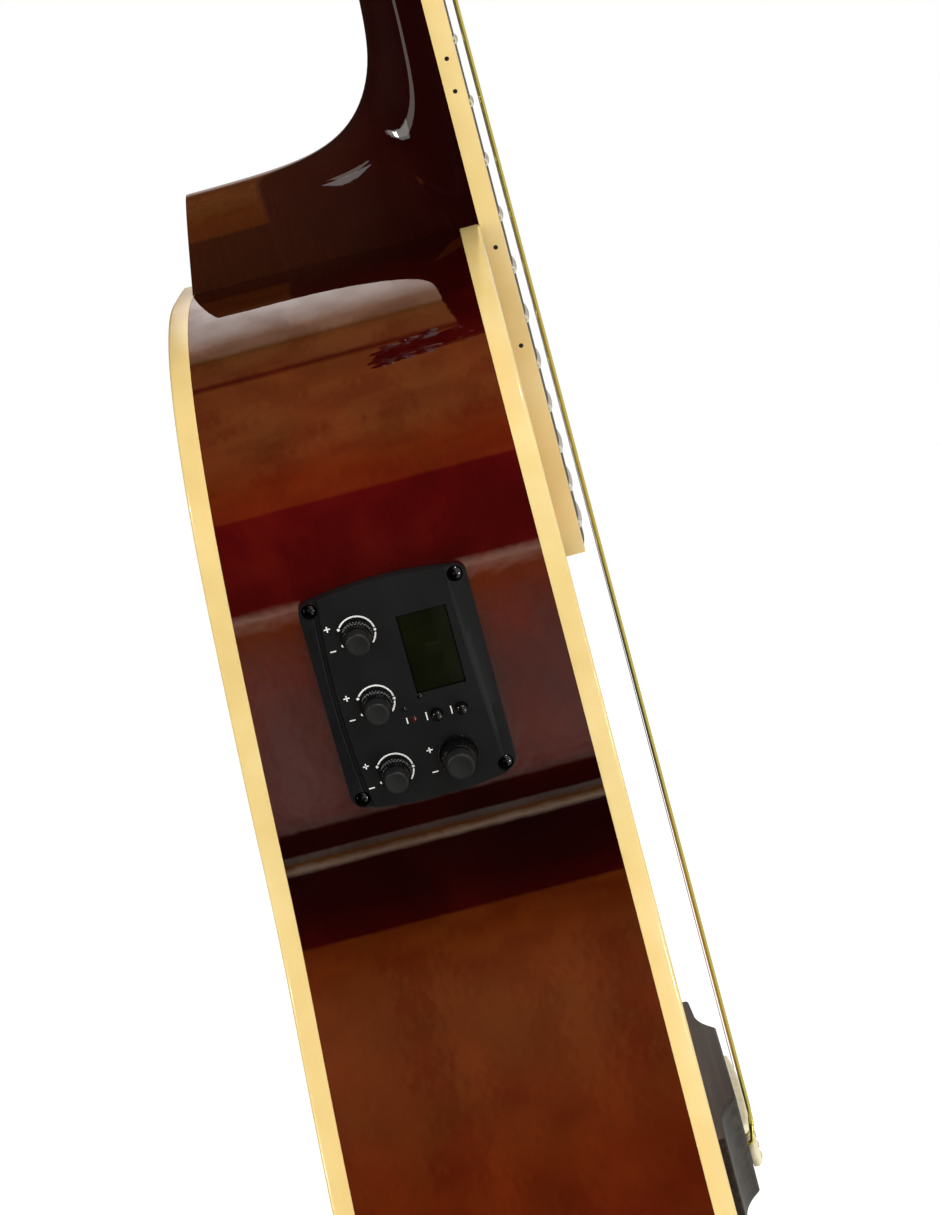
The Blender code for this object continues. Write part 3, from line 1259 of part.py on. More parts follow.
def make_preamp():
    """Moulded fascia with a raised plateau between hollow flanges, its case, window and controls."""
    frame = empty_at("preamp_frame", panel_matrix())
    beyond = PANEL_HALF_HEIGHT + 5 * MM
    rings = [[(x * MM, y, z * MM) for x, z in PANEL_PROFILE] for y in (-beyond, beyond)]
    panel = loft("preamp_panel", rings, BLACK, frame)
    outline = panel_outline()
    rim = loft("panel_rim", [[(x, y, z) for x, y in outline] for z in (0, 2 * PANEL_TOP)], None, frame)
    boolean(panel, as_cutter(rim), "INTERSECT")
    wells = make_collection("panel_wells", CUTTERS)
    for sx in (-1, 1):
        for sy in (-1, 1):
            well = cylinder("screw_well", PANEL_SCREW_WELL, PANEL_WELL_FLOOR, 2 * PANEL_TOP, None, frame, 12,
                            Matrix.Translation((sx * PANEL_SCREW_X, sy * PANEL_SCREW_Y, 0)))
            as_cutter(well, wells)
    pocket = box("window_pocket", (*WINDOW_LOW, PANEL_TOP - WINDOW_THICKNESS - GAP - WINDOW_SUNK),
                 (*WINDOW_HIGH, PANEL_TOP + 5 * MM), None, frame)
    as_cutter(pocket, wells)
    knobs = [(name, (KNOB_X, y), KNOB_RADIUS, KNOB_HEIGHT) for name, y in KNOB_ROWS.items()]
    knobs.append(("knob_volume", VOLUME_PLACE, VOLUME_RADIUS, VOLUME_HEIGHT))
    for name, (x, y), radius, height in knobs:
        hole = cylinder(name + "_hole", KNOB_SHAFT + RUNNING_GAP, -10 * MM, 8 * MM, None, frame, 12,
                        Matrix.Translation((x, y, 0)))
        as_cutter(hole, wells)
    for name, (x, y) in PUSH_PLACES.items():
        hole = cylinder(name + "_hole", PUSH_RADIUS + RUNNING_GAP, -10 * MM, 8 * MM, None, frame, 10,
                        Matrix.Translation((x, y, 0)))
        as_cutter(hole, wells)
    boolean(panel, wells)
    smooth(panel, 25)

    glass = PANEL_TOP - WINDOW_SUNK
    box("lcd_window", (WINDOW_LOW[0] + GAP, WINDOW_LOW[1] + GAP, glass - WINDOW_THICKNESS),
        (WINDOW_HIGH[0] - GAP, WINDOW_HIGH[1] - GAP, glass), GLASS, frame)

    case = box("preamp_case", (-CASE_HALF_WIDTH, -CASE_HALF_HEIGHT, -CASE_DEPTH),
               (CASE_HALF_WIDTH, CASE_HALF_HEIGHT, -1.5 * MM), BLACK, frame, bevel=2 * MM)
    bores = make_collection("case_bores", CUTTERS)
    for name, (x, y), radius, height in knobs:
        bore = cylinder(name + "_bore", KNOB_SHAFT + RUNNING_GAP, -KNOB_SHAFT_LENGTH - GAP, 2 * MM,
                        None, frame, 10, Matrix.Translation((x, y, 0)))
        as_cutter(bore, bores)
        make_knob(name, x, y, radius, height, frame)
    boolean(case, bores)
    window = box("case_opening", (-CASE_HALF_WIDTH - GAP, -CASE_HALF_HEIGHT - GAP, -CASE_NECK),
                 (CASE_HALF_WIDTH + GAP, CASE_HALF_HEIGHT + GAP, 5 * MM), None, frame)
    boolean(bpy.data.objects["side_bass"], as_cutter(window))

    for name, (x, y) in PUSH_PLACES.items():
        top = PANEL_TOP + PUSH_HEIGHT
        profile = [(0, top), (PUSH_RADIUS - 0.4 * MM, top), (PUSH_RADIUS, top - 0.5 * MM),
                   (PUSH_RADIUS, 0), (0, 0)]
        push = turned(name, profile, BLACK, frame, 10)
        push.location = (x, y, 0)


def make_knob(name, x, y, radius, height, frame):
    """Fluted skirt under a smooth cap, on its shaft."""
    axis = empty_at(name + "_axis", Matrix.Translation((x, y, 0)), frame)
    base = PANEL_TOP + GAP
    levels = ((base, 1.0, 0.05), (base + height * 0.45, 0.96, 0.05), (base + height * 0.52, 0.86, 0.0),
              (base + height * 0.94, 0.80, 0.0), (base + height, 0.68, 0.0))
    rings = []
    for z, share, flute in levels:
        ring = []
        for i in range(2 * KNOB_FLUTES):
            angle = math.pi * i / KNOB_FLUTES
            reach = radius * (share - (flute if i % 2 else 0))
            ring.append((reach * math.cos(angle), reach * math.sin(angle), z))
        rings.append(ring)
    knob = loft(name, rings, BLACK, axis)
    smooth(knob, 30)
    shaft = cylinder(name + "_shaft", KNOB_SHAFT, -KNOB_SHAFT_LENGTH, base + 2 * MM, None, axis, 10)
    boolean(knob, as_cutter(shaft), "UNION")


def make_end_jack():
    """Output jack whose outer end is the strap button."""
    foot = -GAP
    tip = foot - JACK_HEIGHT
    profile = [(0, JACK_BARREL_LENGTH), (JACK_BARREL, JACK_BARREL_LENGTH), (JACK_BARREL, foot),
               (JACK_FLANGE, foot), (JACK_FLANGE, foot - 1.5 * MM), (JACK_WAIST + 0.6 * MM, foot - 2.5 * MM),
               (JACK_WAIST, foot - 6 * MM), (JACK_RIM, foot - 8.5 * MM), (JACK_RIM, tip + 0.8 * MM),
               (JACK_RIM - 0.8 * MM, tip), (JACK_BORE, tip), (JACK_BORE, tip + JACK_BORE_DEPTH),
               (0, tip + JACK_BORE_DEPTH)]
    jack = turned("end_jack", profile, CHROME, steps=12)
    jack.location = (0, back_depth(0, down(BODY_LENGTH)) / 2, down(BODY_LENGTH))


drill_pin_holes()
drill_tuner_holes()
make_sides()
make_bindings()
make_soundboard()
make_back()
make_blocks()
make_top_bracing()
make_back_bracing()
make_neck()
make_truss_rod()
make_fretboard()
make_fretboard_binding()
make_nut()
make_veneer()
for string_number in range(STRING_COUNT):
    make_tuner(string_number)
make_bridge()
make_pins()
make_strings()
make_preamp()
make_end_jack()
bpy.context.view_layer.update()
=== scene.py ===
"""The looks of an acoustic-electric guitar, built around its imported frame.

Metres, +Z up the neck, the soundboard faces -Y, the bass side is -X. The origin is where the nut
end of the fretboard meets the neck. "Down" is a distance along the body from the neck's joint.
Lengths are in metres, except that profiles to be spun, blocks, rods and shifts are given in mm.
"""

import math

import bmesh
import bpy
from mathutils import Matrix, Vector
from mathutils.geometry import interpolate_bezier


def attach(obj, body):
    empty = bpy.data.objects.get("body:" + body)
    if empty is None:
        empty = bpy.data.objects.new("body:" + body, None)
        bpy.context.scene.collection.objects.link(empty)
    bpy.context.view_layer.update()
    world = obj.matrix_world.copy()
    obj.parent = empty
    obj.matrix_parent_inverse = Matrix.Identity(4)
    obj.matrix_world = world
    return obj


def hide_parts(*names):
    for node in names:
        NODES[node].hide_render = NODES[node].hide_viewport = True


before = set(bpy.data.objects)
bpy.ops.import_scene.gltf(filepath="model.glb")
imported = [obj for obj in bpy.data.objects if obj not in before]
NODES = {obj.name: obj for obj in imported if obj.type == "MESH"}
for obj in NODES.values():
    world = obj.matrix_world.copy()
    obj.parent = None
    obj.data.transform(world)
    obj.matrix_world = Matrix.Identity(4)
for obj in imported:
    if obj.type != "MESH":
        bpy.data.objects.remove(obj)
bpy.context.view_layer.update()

MM = 0.001
GAP = 0.3 * MM
SCALE_LENGTH = 650 * MM
FRET_COUNT = 21
BODY_LENGTH = 480 * MM
BINDING = 2.0 * MM
BINDING_HEIGHT = 6.0 * MM
SIDE_THICKNESS = 2.5 * MM
PLATE = 3.0 * MM
SOUNDHOLE = 50 * MM
SOUNDHOLE_DOWN = 153 * MM
BOARD_EDGE = 6.1 * MM
BOARD_RADIUS = 400 * MM
STRING_DIAMETERS = [size * MM for size in (1.35, 1.05, 0.80, 0.60, 0.40, 0.30)]
STRING_TURNS = (1.5, 1.5, 2, 2, 2.5, 2.5)
WRAP_PITCH = 0.9 * MM


# Materials

def linear(code):
    """An sRGB hex colour in Blender's linear channels."""
    channels = [int(code[i:i + 2], 16) / 255 for i in (1, 3, 5)]
    return (*[c / 12.92 if c <= 0.04045 else ((c + 0.055) / 1.055) ** 2.4 for c in channels], 1.0)


def wire(node, key, value):
    """Gives a node's input a number, an sRGB hex colour or another node's output."""
    if isinstance(value, bpy.types.NodeSocket):
        node.id_data.links.new(value, node.inputs[key])
    else:
        node.inputs[key].default_value = linear(value) if isinstance(value, str) else value


def add(tree, kind, inputs=None, stops=(), out=0, **settings):
    """Adds a node with its settings, inputs and ramp stops, and returns one of its outputs."""
    node = tree.nodes.new("ShaderNode" + kind)
    for key, value in settings.items():
        setattr(node, key, value)
    if stops:
        marks = node.color_ramp.elements
        while len(marks) < len(stops):
            marks.new(1.0)
        for mark, (place, colour) in zip(marks, stops):
            mark.position = place
            mark.color = linear(colour) if isinstance(colour, str) else (colour, colour, colour, 1.0)
    for key, value in (inputs or {}).items():
        wire(node, key, value)
    return node.outputs[out] if len(node.outputs) else None


# settings of a colour mix and the place of its result; its two colours are the inputs 6 and 7
OVERLAY = {"out": 2, "data_type": "RGBA", "blend_type": "OVERLAY"}
MULTIPLY = {"out": 2, "data_type": "RGBA", "blend_type": "MULTIPLY"}


def finish(name, **values):
    """A new material named for its real finish, with the shader's plain values set."""
    material = bpy.data.materials.new(name)
    material.use_nodes = True
    tree = material.node_tree
    shader = tree.nodes["Principled BSDF"]
    for key, value in values.items():
        wire(shader, key.replace("_", " "), value)
    return material, tree, shader, add(tree, "TexCoord", out="Object")


def surface(name, layers, **values):
    """A finish of simple layers, each a noise that tints, dulls or dents the surface.

    A layer is the noise's scale (one number, or one for each axis), its settings, and what it drives: ramp
    stops for a colour or a roughness, or a dent's depth in metres and its strength for a normal.
    """
    material, tree, shader, spot = finish(name, **values)
    for scale, settings, effects in layers:
        stretched = isinstance(scale, tuple)
        where = add(tree, "Mapping", {"Vector": spot, "Scale": scale}) if stretched else spot
        noise = add(tree, "TexNoise", {"Vector": where, "Scale": 1.0 if stretched else scale, **settings})
        for key, effect in effects.items():
            if isinstance(effect, list):
                driven = add(tree, "ValToRGB", {"Fac": noise}, stops=effect)
            else:
                driven = add(tree, "Bump", {"Height": noise, "Distance": effect[0], "Strength": effect[1]})
            wire(shader, key, driven)
    return material


def lacquered(parts, colour, pores, marks, strength, peel, wave):
    """Draws open pores over a wood's colour, and the orange peel of the lacquer on top."""
    material, tree, shader, spot = parts
    grain = add(tree, "Mapping", {"Vector": spot, "Scale": pores})
    fine = add(tree, "TexNoise", {"Vector": grain, "Scale": 1.0, "Detail": 2.0})
    fine = add(tree, "ValToRGB", {"Fac": fine}, stops=marks)
    wire(shader, "Base Color", add(tree, "Mix", {0: strength, 6: colour, 7: fine}, **OVERLAY))
    orange_peel = add(tree, "TexNoise", {"Vector": spot, "Scale": peel, "Detail": 1.0})
    wire(shader, "Coat Normal", add(tree, "Bump", {"Height": orange_peel, "Distance": wave}))
    return material


def tobacco_lacquer(name, shading):
    """Plywood sprayed with tobacco shading under gloss lacquer: cloudy dark red-brown, mirror-like.

    Spray clouds are 35 mm across with 12 mm ones in them; the veneer's pores are drawn 1.1 mm apart,
    coarser than the real 0.3 mm, so that they show.
    """
    parts = finish(name, Roughness=0.5, Specular_IOR_Level=0.0, Coat_Weight=1.0, Coat_Roughness=0.025,
                   Coat_IOR=1.55)
    tree, spot = parts[1], parts[3]
    up = add(tree, "SeparateXYZ", {0: spot}, out="Z")
    # 0 at the neck's joint and 1 at the tail
    down_share = add(tree, "MapRange", {"Value": up, "From Min": -0.3605, "From Max": -0.8405})
    # tone along the body from the stops given; for the sides these also hold painted reflection and painted
    # shade
    shade = add(tree, "ValToRGB", {"Fac": down_share}, stops=shading)
    clouds = add(tree, "TexNoise", {"Vector": spot, "Scale": 45.0, "Detail": 3.0, "Distortion": 0.4})
    tint = add(tree, "ValToRGB", {"Fac": clouds}, stops=[
        (0.3, "#c32222"), (0.5, "#dc2726"), (0.7, "#fc3a2c")])
    colour = add(tree, "Mix", {0: 1.0, 6: shade, 7: tint}, **MULTIPLY)
    return lacquered(parts, colour, (900, 900, 60), [(0.38, "#3c3c3c"), (0.6, "#a08a80")], 0.14,
                     220.0, 0.000012)


def stained_mahogany():
    """Mahogany neck stained nearly black and lacquered: short pores, browner towards the heel's cap.

    The pores are drawn 0.9 mm apart and 11 mm long, a little coarser than real ones.
    """
    parts = finish("stained_mahogany", Roughness=0.45, Specular_IOR_Level=0.0, Coat_Weight=0.75,
                   Coat_Roughness=0.03, Coat_IOR=1.55)
    tree, spot = parts[1], parts[3]
    deep = add(tree, "SeparateXYZ", {0: spot}, out="Y")
    heel_share = add(tree, "MapRange", {"Value": deep, "From Min": 0.0, "From Max": 0.09})
    clouds = add(tree, "TexNoise", {"Vector": spot, "Scale": 38.0, "Detail": 3.0, "Distortion": 0.3})
    mixed = add(tree, "Math", {0: clouds, 1: 0.5, 2: heel_share}, operation="MULTIPLY_ADD")
    colour = add(tree, "ValToRGB", {"Fac": mixed}, stops=[
        (0.15, "#160203"), (0.38, "#1e0403"), (0.55, "#260b07"), (0.75, "#2e130b"), (1.0, "#33160a")])
    return lacquered(parts, colour, (1100, 1100, 90), [(0.4, "#303030"), (0.6, "#a08a7c")], 0.2,
                     160.0, 0.000015)


def oiled_rosewood(name, streak_scale, pore_scale, dark, middle, light):
    """Oiled rosewood sanded along the grain: streaks 1 to 3 mm wide, open pores drawn 0.4 mm wide."""
    material, tree, shader, spot = finish(name, Roughness=0.42, Specular_IOR_Level=0.12)
    along_grain = add(tree, "Mapping", {"Vector": spot, "Scale": streak_scale})
    streaks = add(tree, "TexNoise", {"Vector": along_grain, "Scale": 1.0, "Detail": 4.0, "Roughness": 0.6,
                                     "Distortion": 0.8})
    fine = add(tree, "Mapping", {"Vector": spot, "Scale": pore_scale})
    pores = add(tree, "TexNoise", {"Vector": fine, "Scale": 1.0, "Detail": 2.0})
    colour = add(tree, "ValToRGB", {"Fac": streaks}, stops=[(0.25, dark), (0.5, middle), (0.75, light)])
    open_pores = add(tree, "ValToRGB", {"Fac": pores}, stops=[(0.36, "#120906"), (0.46, "#7f7f7f")])
    wire(shader, "Base Color", add(tree, "Mix", {0: 0.5, 6: colour, 7: open_pores}, **OVERLAY))
    wire(shader, "Normal", add(tree, "Bump", {"Height": pores, "Distance": 0.00008, "Strength": 0.6}))
    return material


def burst_spruce():
    """Spruce top with a tobacco burst under gloss lacquer: amber middle, dark rim, straight grain.

    Year rings are 1.3 mm apart along the body, mirrored at the centre seam, with a cross silk of 8 mm.
    """
    material, tree, shader, spot = finish("burst_spruce", Roughness=0.35, Specular_IOR_Level=0.0,
                                          Coat_Weight=1.0, Coat_Roughness=0.035, Coat_IOR=1.55)
    across = add(tree, "Math", {0: add(tree, "SeparateXYZ", {0: spot}, out="X")}, operation="ABSOLUTE")
    slow = add(tree, "Mapping", {"Vector": spot, "Scale": (24, 3, 4.5)})
    wander = add(tree, "TexNoise", {"Vector": slow, "Scale": 1.0, "Detail": 2.0})
    phase = add(tree, "Math", {0: across, 1: 2 * math.pi / 0.0013}, operation="MULTIPLY")
    phase = add(tree, "Math", {0: wander, 1: 34.0, 2: phase}, operation="MULTIPLY_ADD")
    rings = add(tree, "Math", {0: phase}, operation="SINE")
    share = add(tree, "Math", {0: rings, 1: 0.5, 2: 0.5}, operation="MULTIPLY_ADD")
    grain = add(tree, "ValToRGB", {"Fac": share}, stops=[
        (0.0, "#c98a3e"), (0.6, "#d39a4c"), (1.0, "#a8682a")])
    cross = add(tree, "Mapping", {"Vector": spot, "Scale": (120, 1, 900)})
    silk = add(tree, "TexNoise", {"Vector": cross, "Scale": 1.0, "Detail": 2.0})
    sheen = add(tree, "ValToRGB", {"Fac": silk}, stops=[(0.35, "#7f7f7f"), (0.7, "#ffd9a0")])
    grain = add(tree, "Mix", {0: 0.2, 6: grain, 7: sheen}, **OVERLAY)
    # the burst's light patch: one oval over the lower bout and one round the hole, eased together
    reach = []
    for size, middle in (((1 / 0.165, 0, 1 / 0.19), 3.7), ((1 / 0.125, 0, 1 / 0.17), 2.9)):
        oval = add(tree, "Mapping", {"Vector": spot, "Scale": size, "Location": (0, 0, middle)})
        reach.append(add(tree, "VectorMath", {0: oval}, out="Value", operation="LENGTH"))
    reach = add(tree, "Math", {0: reach[0], 1: reach[1], 2: 0.5}, operation="SMOOTH_MIN")
    reach = add(tree, "Math", {0: reach, 1: 0.7}, operation="MULTIPLY")
    rim = add(tree, "ValToRGB", {"Fac": reach}, stops=[
        (0.34, "#ffffff"), (0.55, "#b8793c"), (0.74, "#3c1408"), (0.9, "#1c0804")])
    wire(shader, "Base Color", add(tree, "Mix", {0: 1.0, 6: grain, 7: rim}, **MULTIPLY))
    wire(shader, "Coat Normal", add(tree, "Bump", {"Height": rings, "Distance": 0.000006, "Strength": 0.5}))
    return material


def metal(name, colour, smooth, rough, stretch, wave=0.00001):
    """A worked metal: its plate colour, and haze or scratches stretched the way it was worked."""
    haze = {"Roughness": [(0.3, smooth), (0.8, rough)], "Normal": (wave, 0.5)}
    return surface(name, [(stretch, {"Detail": 2.0}, haze)], Metallic=1.0, Base_Color=colour)


def moulded(name, dark, light, smooth, rough, grain_scale, grain_depth, shine=0.5):
    """A moulding: shade drifting over 11 mm, and the tool's texture at the given scale and depth."""
    grain = {"Roughness": [(0.3, smooth), (0.7, rough)], "Normal": (grain_depth, 0.5)}
    return surface(name, [(90.0, {"Detail": 3.0}, {"Base Color": [(0.3, dark), (0.7, light)]}),
                          (grain_scale, {"Detail": 2.0, "Roughness": 0.6}, grain)], Specular_IOR_Level=shine)


# how far the spray lets the wood through, from the neck's end to the tail: on the sides least at the
# neck, at the waist and at the tail, on the back least at both ends. On the sides the lighter patch in the
# upper bout and the sharp dark band across the waist are painted light as well: painted reflection and
# painted shade where the lacquer shows bright and dark reflections
LACQUER = tobacco_lacquer("tobacco_lacquer", [
    (0.0, 0.01), (0.015, 0.02), (0.045, 0.045), (0.08, 0.06), (0.11, 0.085), (0.16, 0.06), (0.21, 0.06),
    (0.297, 0.045), (0.304, 0.012), (0.33, 0.009), (0.355, 0.012), (0.38, 0.03), (0.42, 0.06), (0.55, 0.06),
    (0.85, 0.05), (1.0, 0.02)])
BACK_LACQUER = tobacco_lacquer("tobacco_lacquer_back", [
    (0.0, 0.02), (0.15, 0.05), (0.5, 0.085), (0.8, 0.06), (1.0, 0.02)])
MAHOGANY = stained_mahogany()
# cream ABS, scraped flush and buffed: butter colour drifting over 25 mm, scraper lines 0.5 mm apart
CREAM = surface("cream_abs", [
    (40.0, {"Detail": 3.0}, {"Base Color": [(0.3, "#d4b873"), (0.5, "#dbc07c"), (0.75, "#e0c98b")]}),
    ((200, 2000, 60), {"Detail": 1.0}, {"Normal": (0.00002, 0.5)})],
    Roughness=0.3, Coat_Weight=0.5, Coat_Roughness=0.08, Subsurface_Weight=0.1, Subsurface_Scale=0.002,
    Subsurface_Radius=(1.0, 0.7, 0.4))
# ivory-coloured plastic: pale, slightly see-through at thin edges, flow marks about 4 mm across
IVORY = surface("ivory_plastic", [
    (240.0, {"Detail": 2.0}, {"Base Color": [(0.3, "#ddd3a8"), (0.7, "#e9e1c2")], "Normal": (0.00001, 0.4)})],
    Roughness=0.28, Subsurface_Weight=0.3, Subsurface_Scale=0.0015, Subsurface_Radius=(1.0, 0.8, 0.5))
# board grain runs up the neck, bridge and headstock face grain across
BOARD_WOOD = oiled_rosewood("oiled_rosewood_board", (420, 420, 9), (2600, 2600, 130),
                            "#1d110d", "#33201a", "#4d3226")
BRIDGE_WOOD = oiled_rosewood("oiled_rosewood_bridge", (11, 380, 420), (140, 2400, 2400),
                             "#1c1813", "#332c23", "#51473a")
SPRUCE = burst_spruce()
# bare sanded spruce inside the body: pale and dry, year rings about 2 mm apart
BARE = surface("bare_spruce", [
    ((500, 500, 12), {"Detail": 3.0, "Roughness": 0.6}, {
        "Base Color": [(0.3, "#b98f5c"), (0.55, "#d3ad78"), (0.75, "#e2c394")], "Normal": (0.00005, 0.4)})],
    Roughness=0.75)
# buffed chrome on zinc: nearly a mirror, haze clouds of 3 mm
CHROME = metal("chrome_plate", "#d3d5d8", 0.06, 0.13, (330, 330, 330), 0.00002)
# drawn nickel-silver fret wire, filed along the board: warm silver with cross scratches
NICKEL = metal("nickel_silver", "#f0ede4", 0.12, 0.3, (60, 4000, 4000))
# bronze wrap wire, brassy olive from handling, tarnish in 6 mm patches
BRONZE = metal("bronze_wrap", "#d2c565", 0.26, 0.42, (170, 170, 170))
# tinned music wire, drawn: bright grey with lines along it
STEEL = metal("tinned_wire", "#b9bbbd", 0.16, 0.34, (900, 900, 60))
# black oxide on a steel screw, oiled: black mirror with 1 mm smudges
OXIDE = metal("black_oxide_steel", "#404044", 0.05, 0.12, (900, 900, 900))
# ABS from a spark-eroded tool: matte black; the 0.1 mm grain is drawn 0.5 mm wide to show
TEXTURED = moulded("textured_black_abs", "#08080a", "#0d0e0f", 0.42, 0.56, 2000.0, 0.00004, 0.35)
# ABS from a polished tool, for knob skirts and buttons: deep black with sharp glints
POLISHED = moulded("polished_black_abs", "#070708", "#0b0b0c", 0.1, 0.22, 300.0, 0.000004)
# soft-touch coating on the knob caps: dark grey, very matte, rubbed by fingers in 3 mm patches
RUBBER = moulded("soft_touch_coating", "#0b0c0c", "#151616", 0.5, 0.62, 3200.0, 0.00003, 0.4)
# tinted acrylic over an unlit display: olive black, glossy
ACRYLIC = moulded("tinted_acrylic", "#0b0d05", "#101207", 0.05, 0.09, 120.0, 0.000002, 0.04)
# pad-printed white ink, chalky and thin in places
INK = moulded("pad_print_white", "#cfcfcb", "#eeeeea", 0.5, 0.6, 1500.0, 0.000004)
# dyed fibre of the purfling and the side dots: flat black under lacquer
FIBRE = moulded("dyed_fibre", "#090807", "#161412", 0.3, 0.4, 700.0, 0.000005)
# red epoxy lens of an unlit lamp: dark red and glossy, clearer at its rim
LENS = surface("red_epoxy", [(900.0, {"Detail": 1.0}, {"Base Color": [(0.3, "#2a0606"), (0.7, "#7a1813")]})],
               Roughness=0.12, Transmission_Weight=0.25)
# pearloid celluloid: pale grey swirls of 2 mm with a soft shine
PEARL = surface("pearloid", [(500.0, {"Detail": 3.0, "Distortion": 2.0}, {
    "Base Color": [(0.3, "#bfc3c0"), (0.5, "#e9ebe6"), (0.7, "#cdd5d3")]})],
    Roughness=0.16, Coat_Weight=0.5, Coat_Roughness=0.05)
# matte white translucent acrylic, lit from below and above: 8 mm haze, a trace of warmth
WHITE = surface("matte_white_acrylic", [(120.0, {"Detail": 2.0}, {
    "Base Color": [(0.3, "#f1f0ed"), (0.7, "#f6f5f3")], "Normal": (0.0002, 0.2)})],
    Roughness=0.9, Emission_Color="#ffffff", Emission_Strength=0.3)


# Mesh helpers

def thread(bm, points, closed=True):
    """Vertices along points and the edges between them."""
    verts = [bm.verts.new(point) for point in points]
    pairs = list(zip(verts, verts[1:]))
    if closed:
        pairs.append((verts[-1], verts[0]))
    return [bm.edges.new(pair) for pair in pairs]


def skin(bm, loops, closed=True, ends=True, ring=False):
    """A skin bridged over loops of equal length; ends fills the first and the last loop."""
    rows = [thread(bm, loop, closed) for loop in loops]
    pairs = list(zip(rows, rows[1:]))
    if ring:
        pairs.append((rows[-1], rows[0]))
    for near, far in pairs:
        bmesh.ops.bridge_loops(bm, edges=near + far)
    if ends and closed and not ring:
        for row in (rows[0], rows[-1]):
            bmesh.ops.contextual_create(bm, geom=row)


def outwards(bm):
    """Normals recalculated, and turned if the closed shape came out inside out."""
    bm.normal_update()
    bmesh.ops.recalc_face_normals(bm, faces=bm.faces)
    if bm.calc_volume(signed=True) < 0:
        bmesh.ops.reverse_faces(bm, faces=bm.faces)


def place(bm, matrix):
    bmesh.ops.transform(bm, matrix=matrix, verts=bm.verts)


def moved(x, y, z):
    """A shift in mm."""
    return Matrix.Translation((x * MM, y * MM, z * MM))


def turned(degrees, axis):
    return Matrix.Rotation(math.radians(degrees), 4, axis)


def rounded(bm, edges, width, segments=2):
    bmesh.ops.bevel(bm, geom=list(edges), offset=width, affect="EDGES", segments=segments, profile=0.5,
                    material=-1, clamp_overlap=True)


def crisp(bm, least):
    """Edges whose two faces turn by more than an angle in degrees."""
    return [edge for edge in bm.edges if edge.is_manifold and edge.calc_face_angle(0) > math.radians(least)]


def new_mesh(name, build, solid=True):
    bm = bmesh.new()
    build(bm)
    if solid:
        outwards(bm)
    mesh = bpy.data.meshes.new(name)
    bm.to_mesh(mesh)
    bm.free()
    thing = bpy.data.objects.new(name, mesh)
    bpy.context.scene.collection.objects.link(thing)
    return thing


def shade(thing, sharp):
    thing.data.shade_smooth()
    thing.data.set_sharp_from_angle(angle=math.radians(sharp))


def carve(thing, builds, sharp, kind="DIFFERENCE"):
    """Cuts shapes out of a piece, or keeps what lies in them, for good."""
    for build in builds:
        tool = new_mesh("tool", build)
        cut = thing.modifiers.new("cut", "BOOLEAN")
        cut.object = tool
        cut.operation = kind
        cut.solver = "EXACT"
        bpy.context.view_layer.update()
        done = bpy.data.meshes.new_from_object(thing.evaluated_get(bpy.context.evaluated_depsgraph_get()))
        thing.modifiers.remove(cut)
        old = thing.data
        thing.data = done
        done.name = thing.name
        bpy.data.meshes.remove(old)
        bpy.data.objects.remove(tool)
    shade(thing, sharp)


def piece(name, build, *materials, body="guitar", replaces=None, sharp=35, matrix=None, cuts=()):
    """A named mesh: built, cut, shaded smooth but at sharp edges, placed, and riding on a body."""
    thing = new_mesh(name, build)
    carve(thing, cuts, sharp)
    if matrix:
        thing.data.transform(matrix)
    for material in materials:
        thing.data.materials.append(material)
    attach(thing, body)
    if replaces:
        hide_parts(replaces)
    return thing


def lathed(profile, steps=32):
    """A builder that spins a path of (radius, height) pairs, in mm, round the Z axis."""
    def build(bm):
        points = [(radius * MM, 0, height * MM) for radius, height in profile]
        loop = points[0] == points[-1]
        edges = thread(bm, points[:-1] if loop else points, closed=loop)
        bmesh.ops.spin(bm, geom=bm.verts[:] + edges, cent=(0, 0, 0), axis=(0, 0, 1), angle=2 * math.pi,
                       steps=steps, use_merge=True, use_duplicate=False)
        bmesh.ops.remove_doubles(bm, verts=bm.verts, dist=0.002 * MM)
    return build


def block(bm, low, high, unit=MM):
    """A box between two corners, in mm unless told otherwise."""
    low, high = Vector(low) * unit, Vector(high) * unit
    size = Matrix.Diagonal((*(high - low), 1.0))
    return bmesh.ops.create_cube(bm, size=1.0, matrix=Matrix.Translation((low + high) / 2) @ size)


def rod(bm, radius, low, high, sides=24, matrix=Matrix.Identity(4)):
    """An upright cylinder in mm, then placed."""
    bmesh.ops.create_cone(bm, cap_ends=True, segments=sides, radius1=radius * MM, radius2=radius * MM,
                          depth=(high - low) * MM, matrix=matrix @ moved(0, 0, (low + high) / 2))


def along(start, stop, count):
    """Evenly spaced numbers from start to stop, both included."""
    return [start + (stop - start) * i / (count - 1) for i in range(count)]


def dome(radius, foot, rise, count=7, flat=0.0):
    """A quarter-round path from the axis down to a radius, as (radius, height) pairs in mm."""
    turns = along(flat, math.pi / 2, count)
    path = [(radius * math.sin(a), foot + rise * math.cos(a)) for a in turns]
    return [(0, path[0][1])] + (path if flat else path[1:])


# Places shared with the frame

def fret_distance(number):
    return SCALE_LENGTH * (1 - 2 ** (-number / 12))


JOINT_Z = -fret_distance(14)
BOARD_LENGTH = fret_distance(FRET_COUNT) + 8.5 * MM
PIN_Z = -SCALE_LENGTH - 14.5 * MM
PIN_SEAT = -9.3 * MM
NUT_SPREAD = 36 * MM
PIN_SPREAD = 54 * MM
POST_WAIST = 2.7
SADDLE_SLANT = 2.4


def down(distance):
    return JOINT_Z - distance


def back_depth(x, z):
    distance = JOINT_Z - z
    return 95.5 * MM + 0.09 * distance - 0.1 * distance ** 2 - x ** 2 / 9.14


def board_half(z):
    return (43 * MM + 12.5 * MM * -z / fret_distance(FRET_COUNT)) / 2


def board_top(x, z):
    return -(GAP + BOARD_EDGE + (board_half(z) ** 2 - x ** 2) / (2 * BOARD_RADIUS))


def string_x(index, spread):
    return spread * (index / 5 - 0.5)


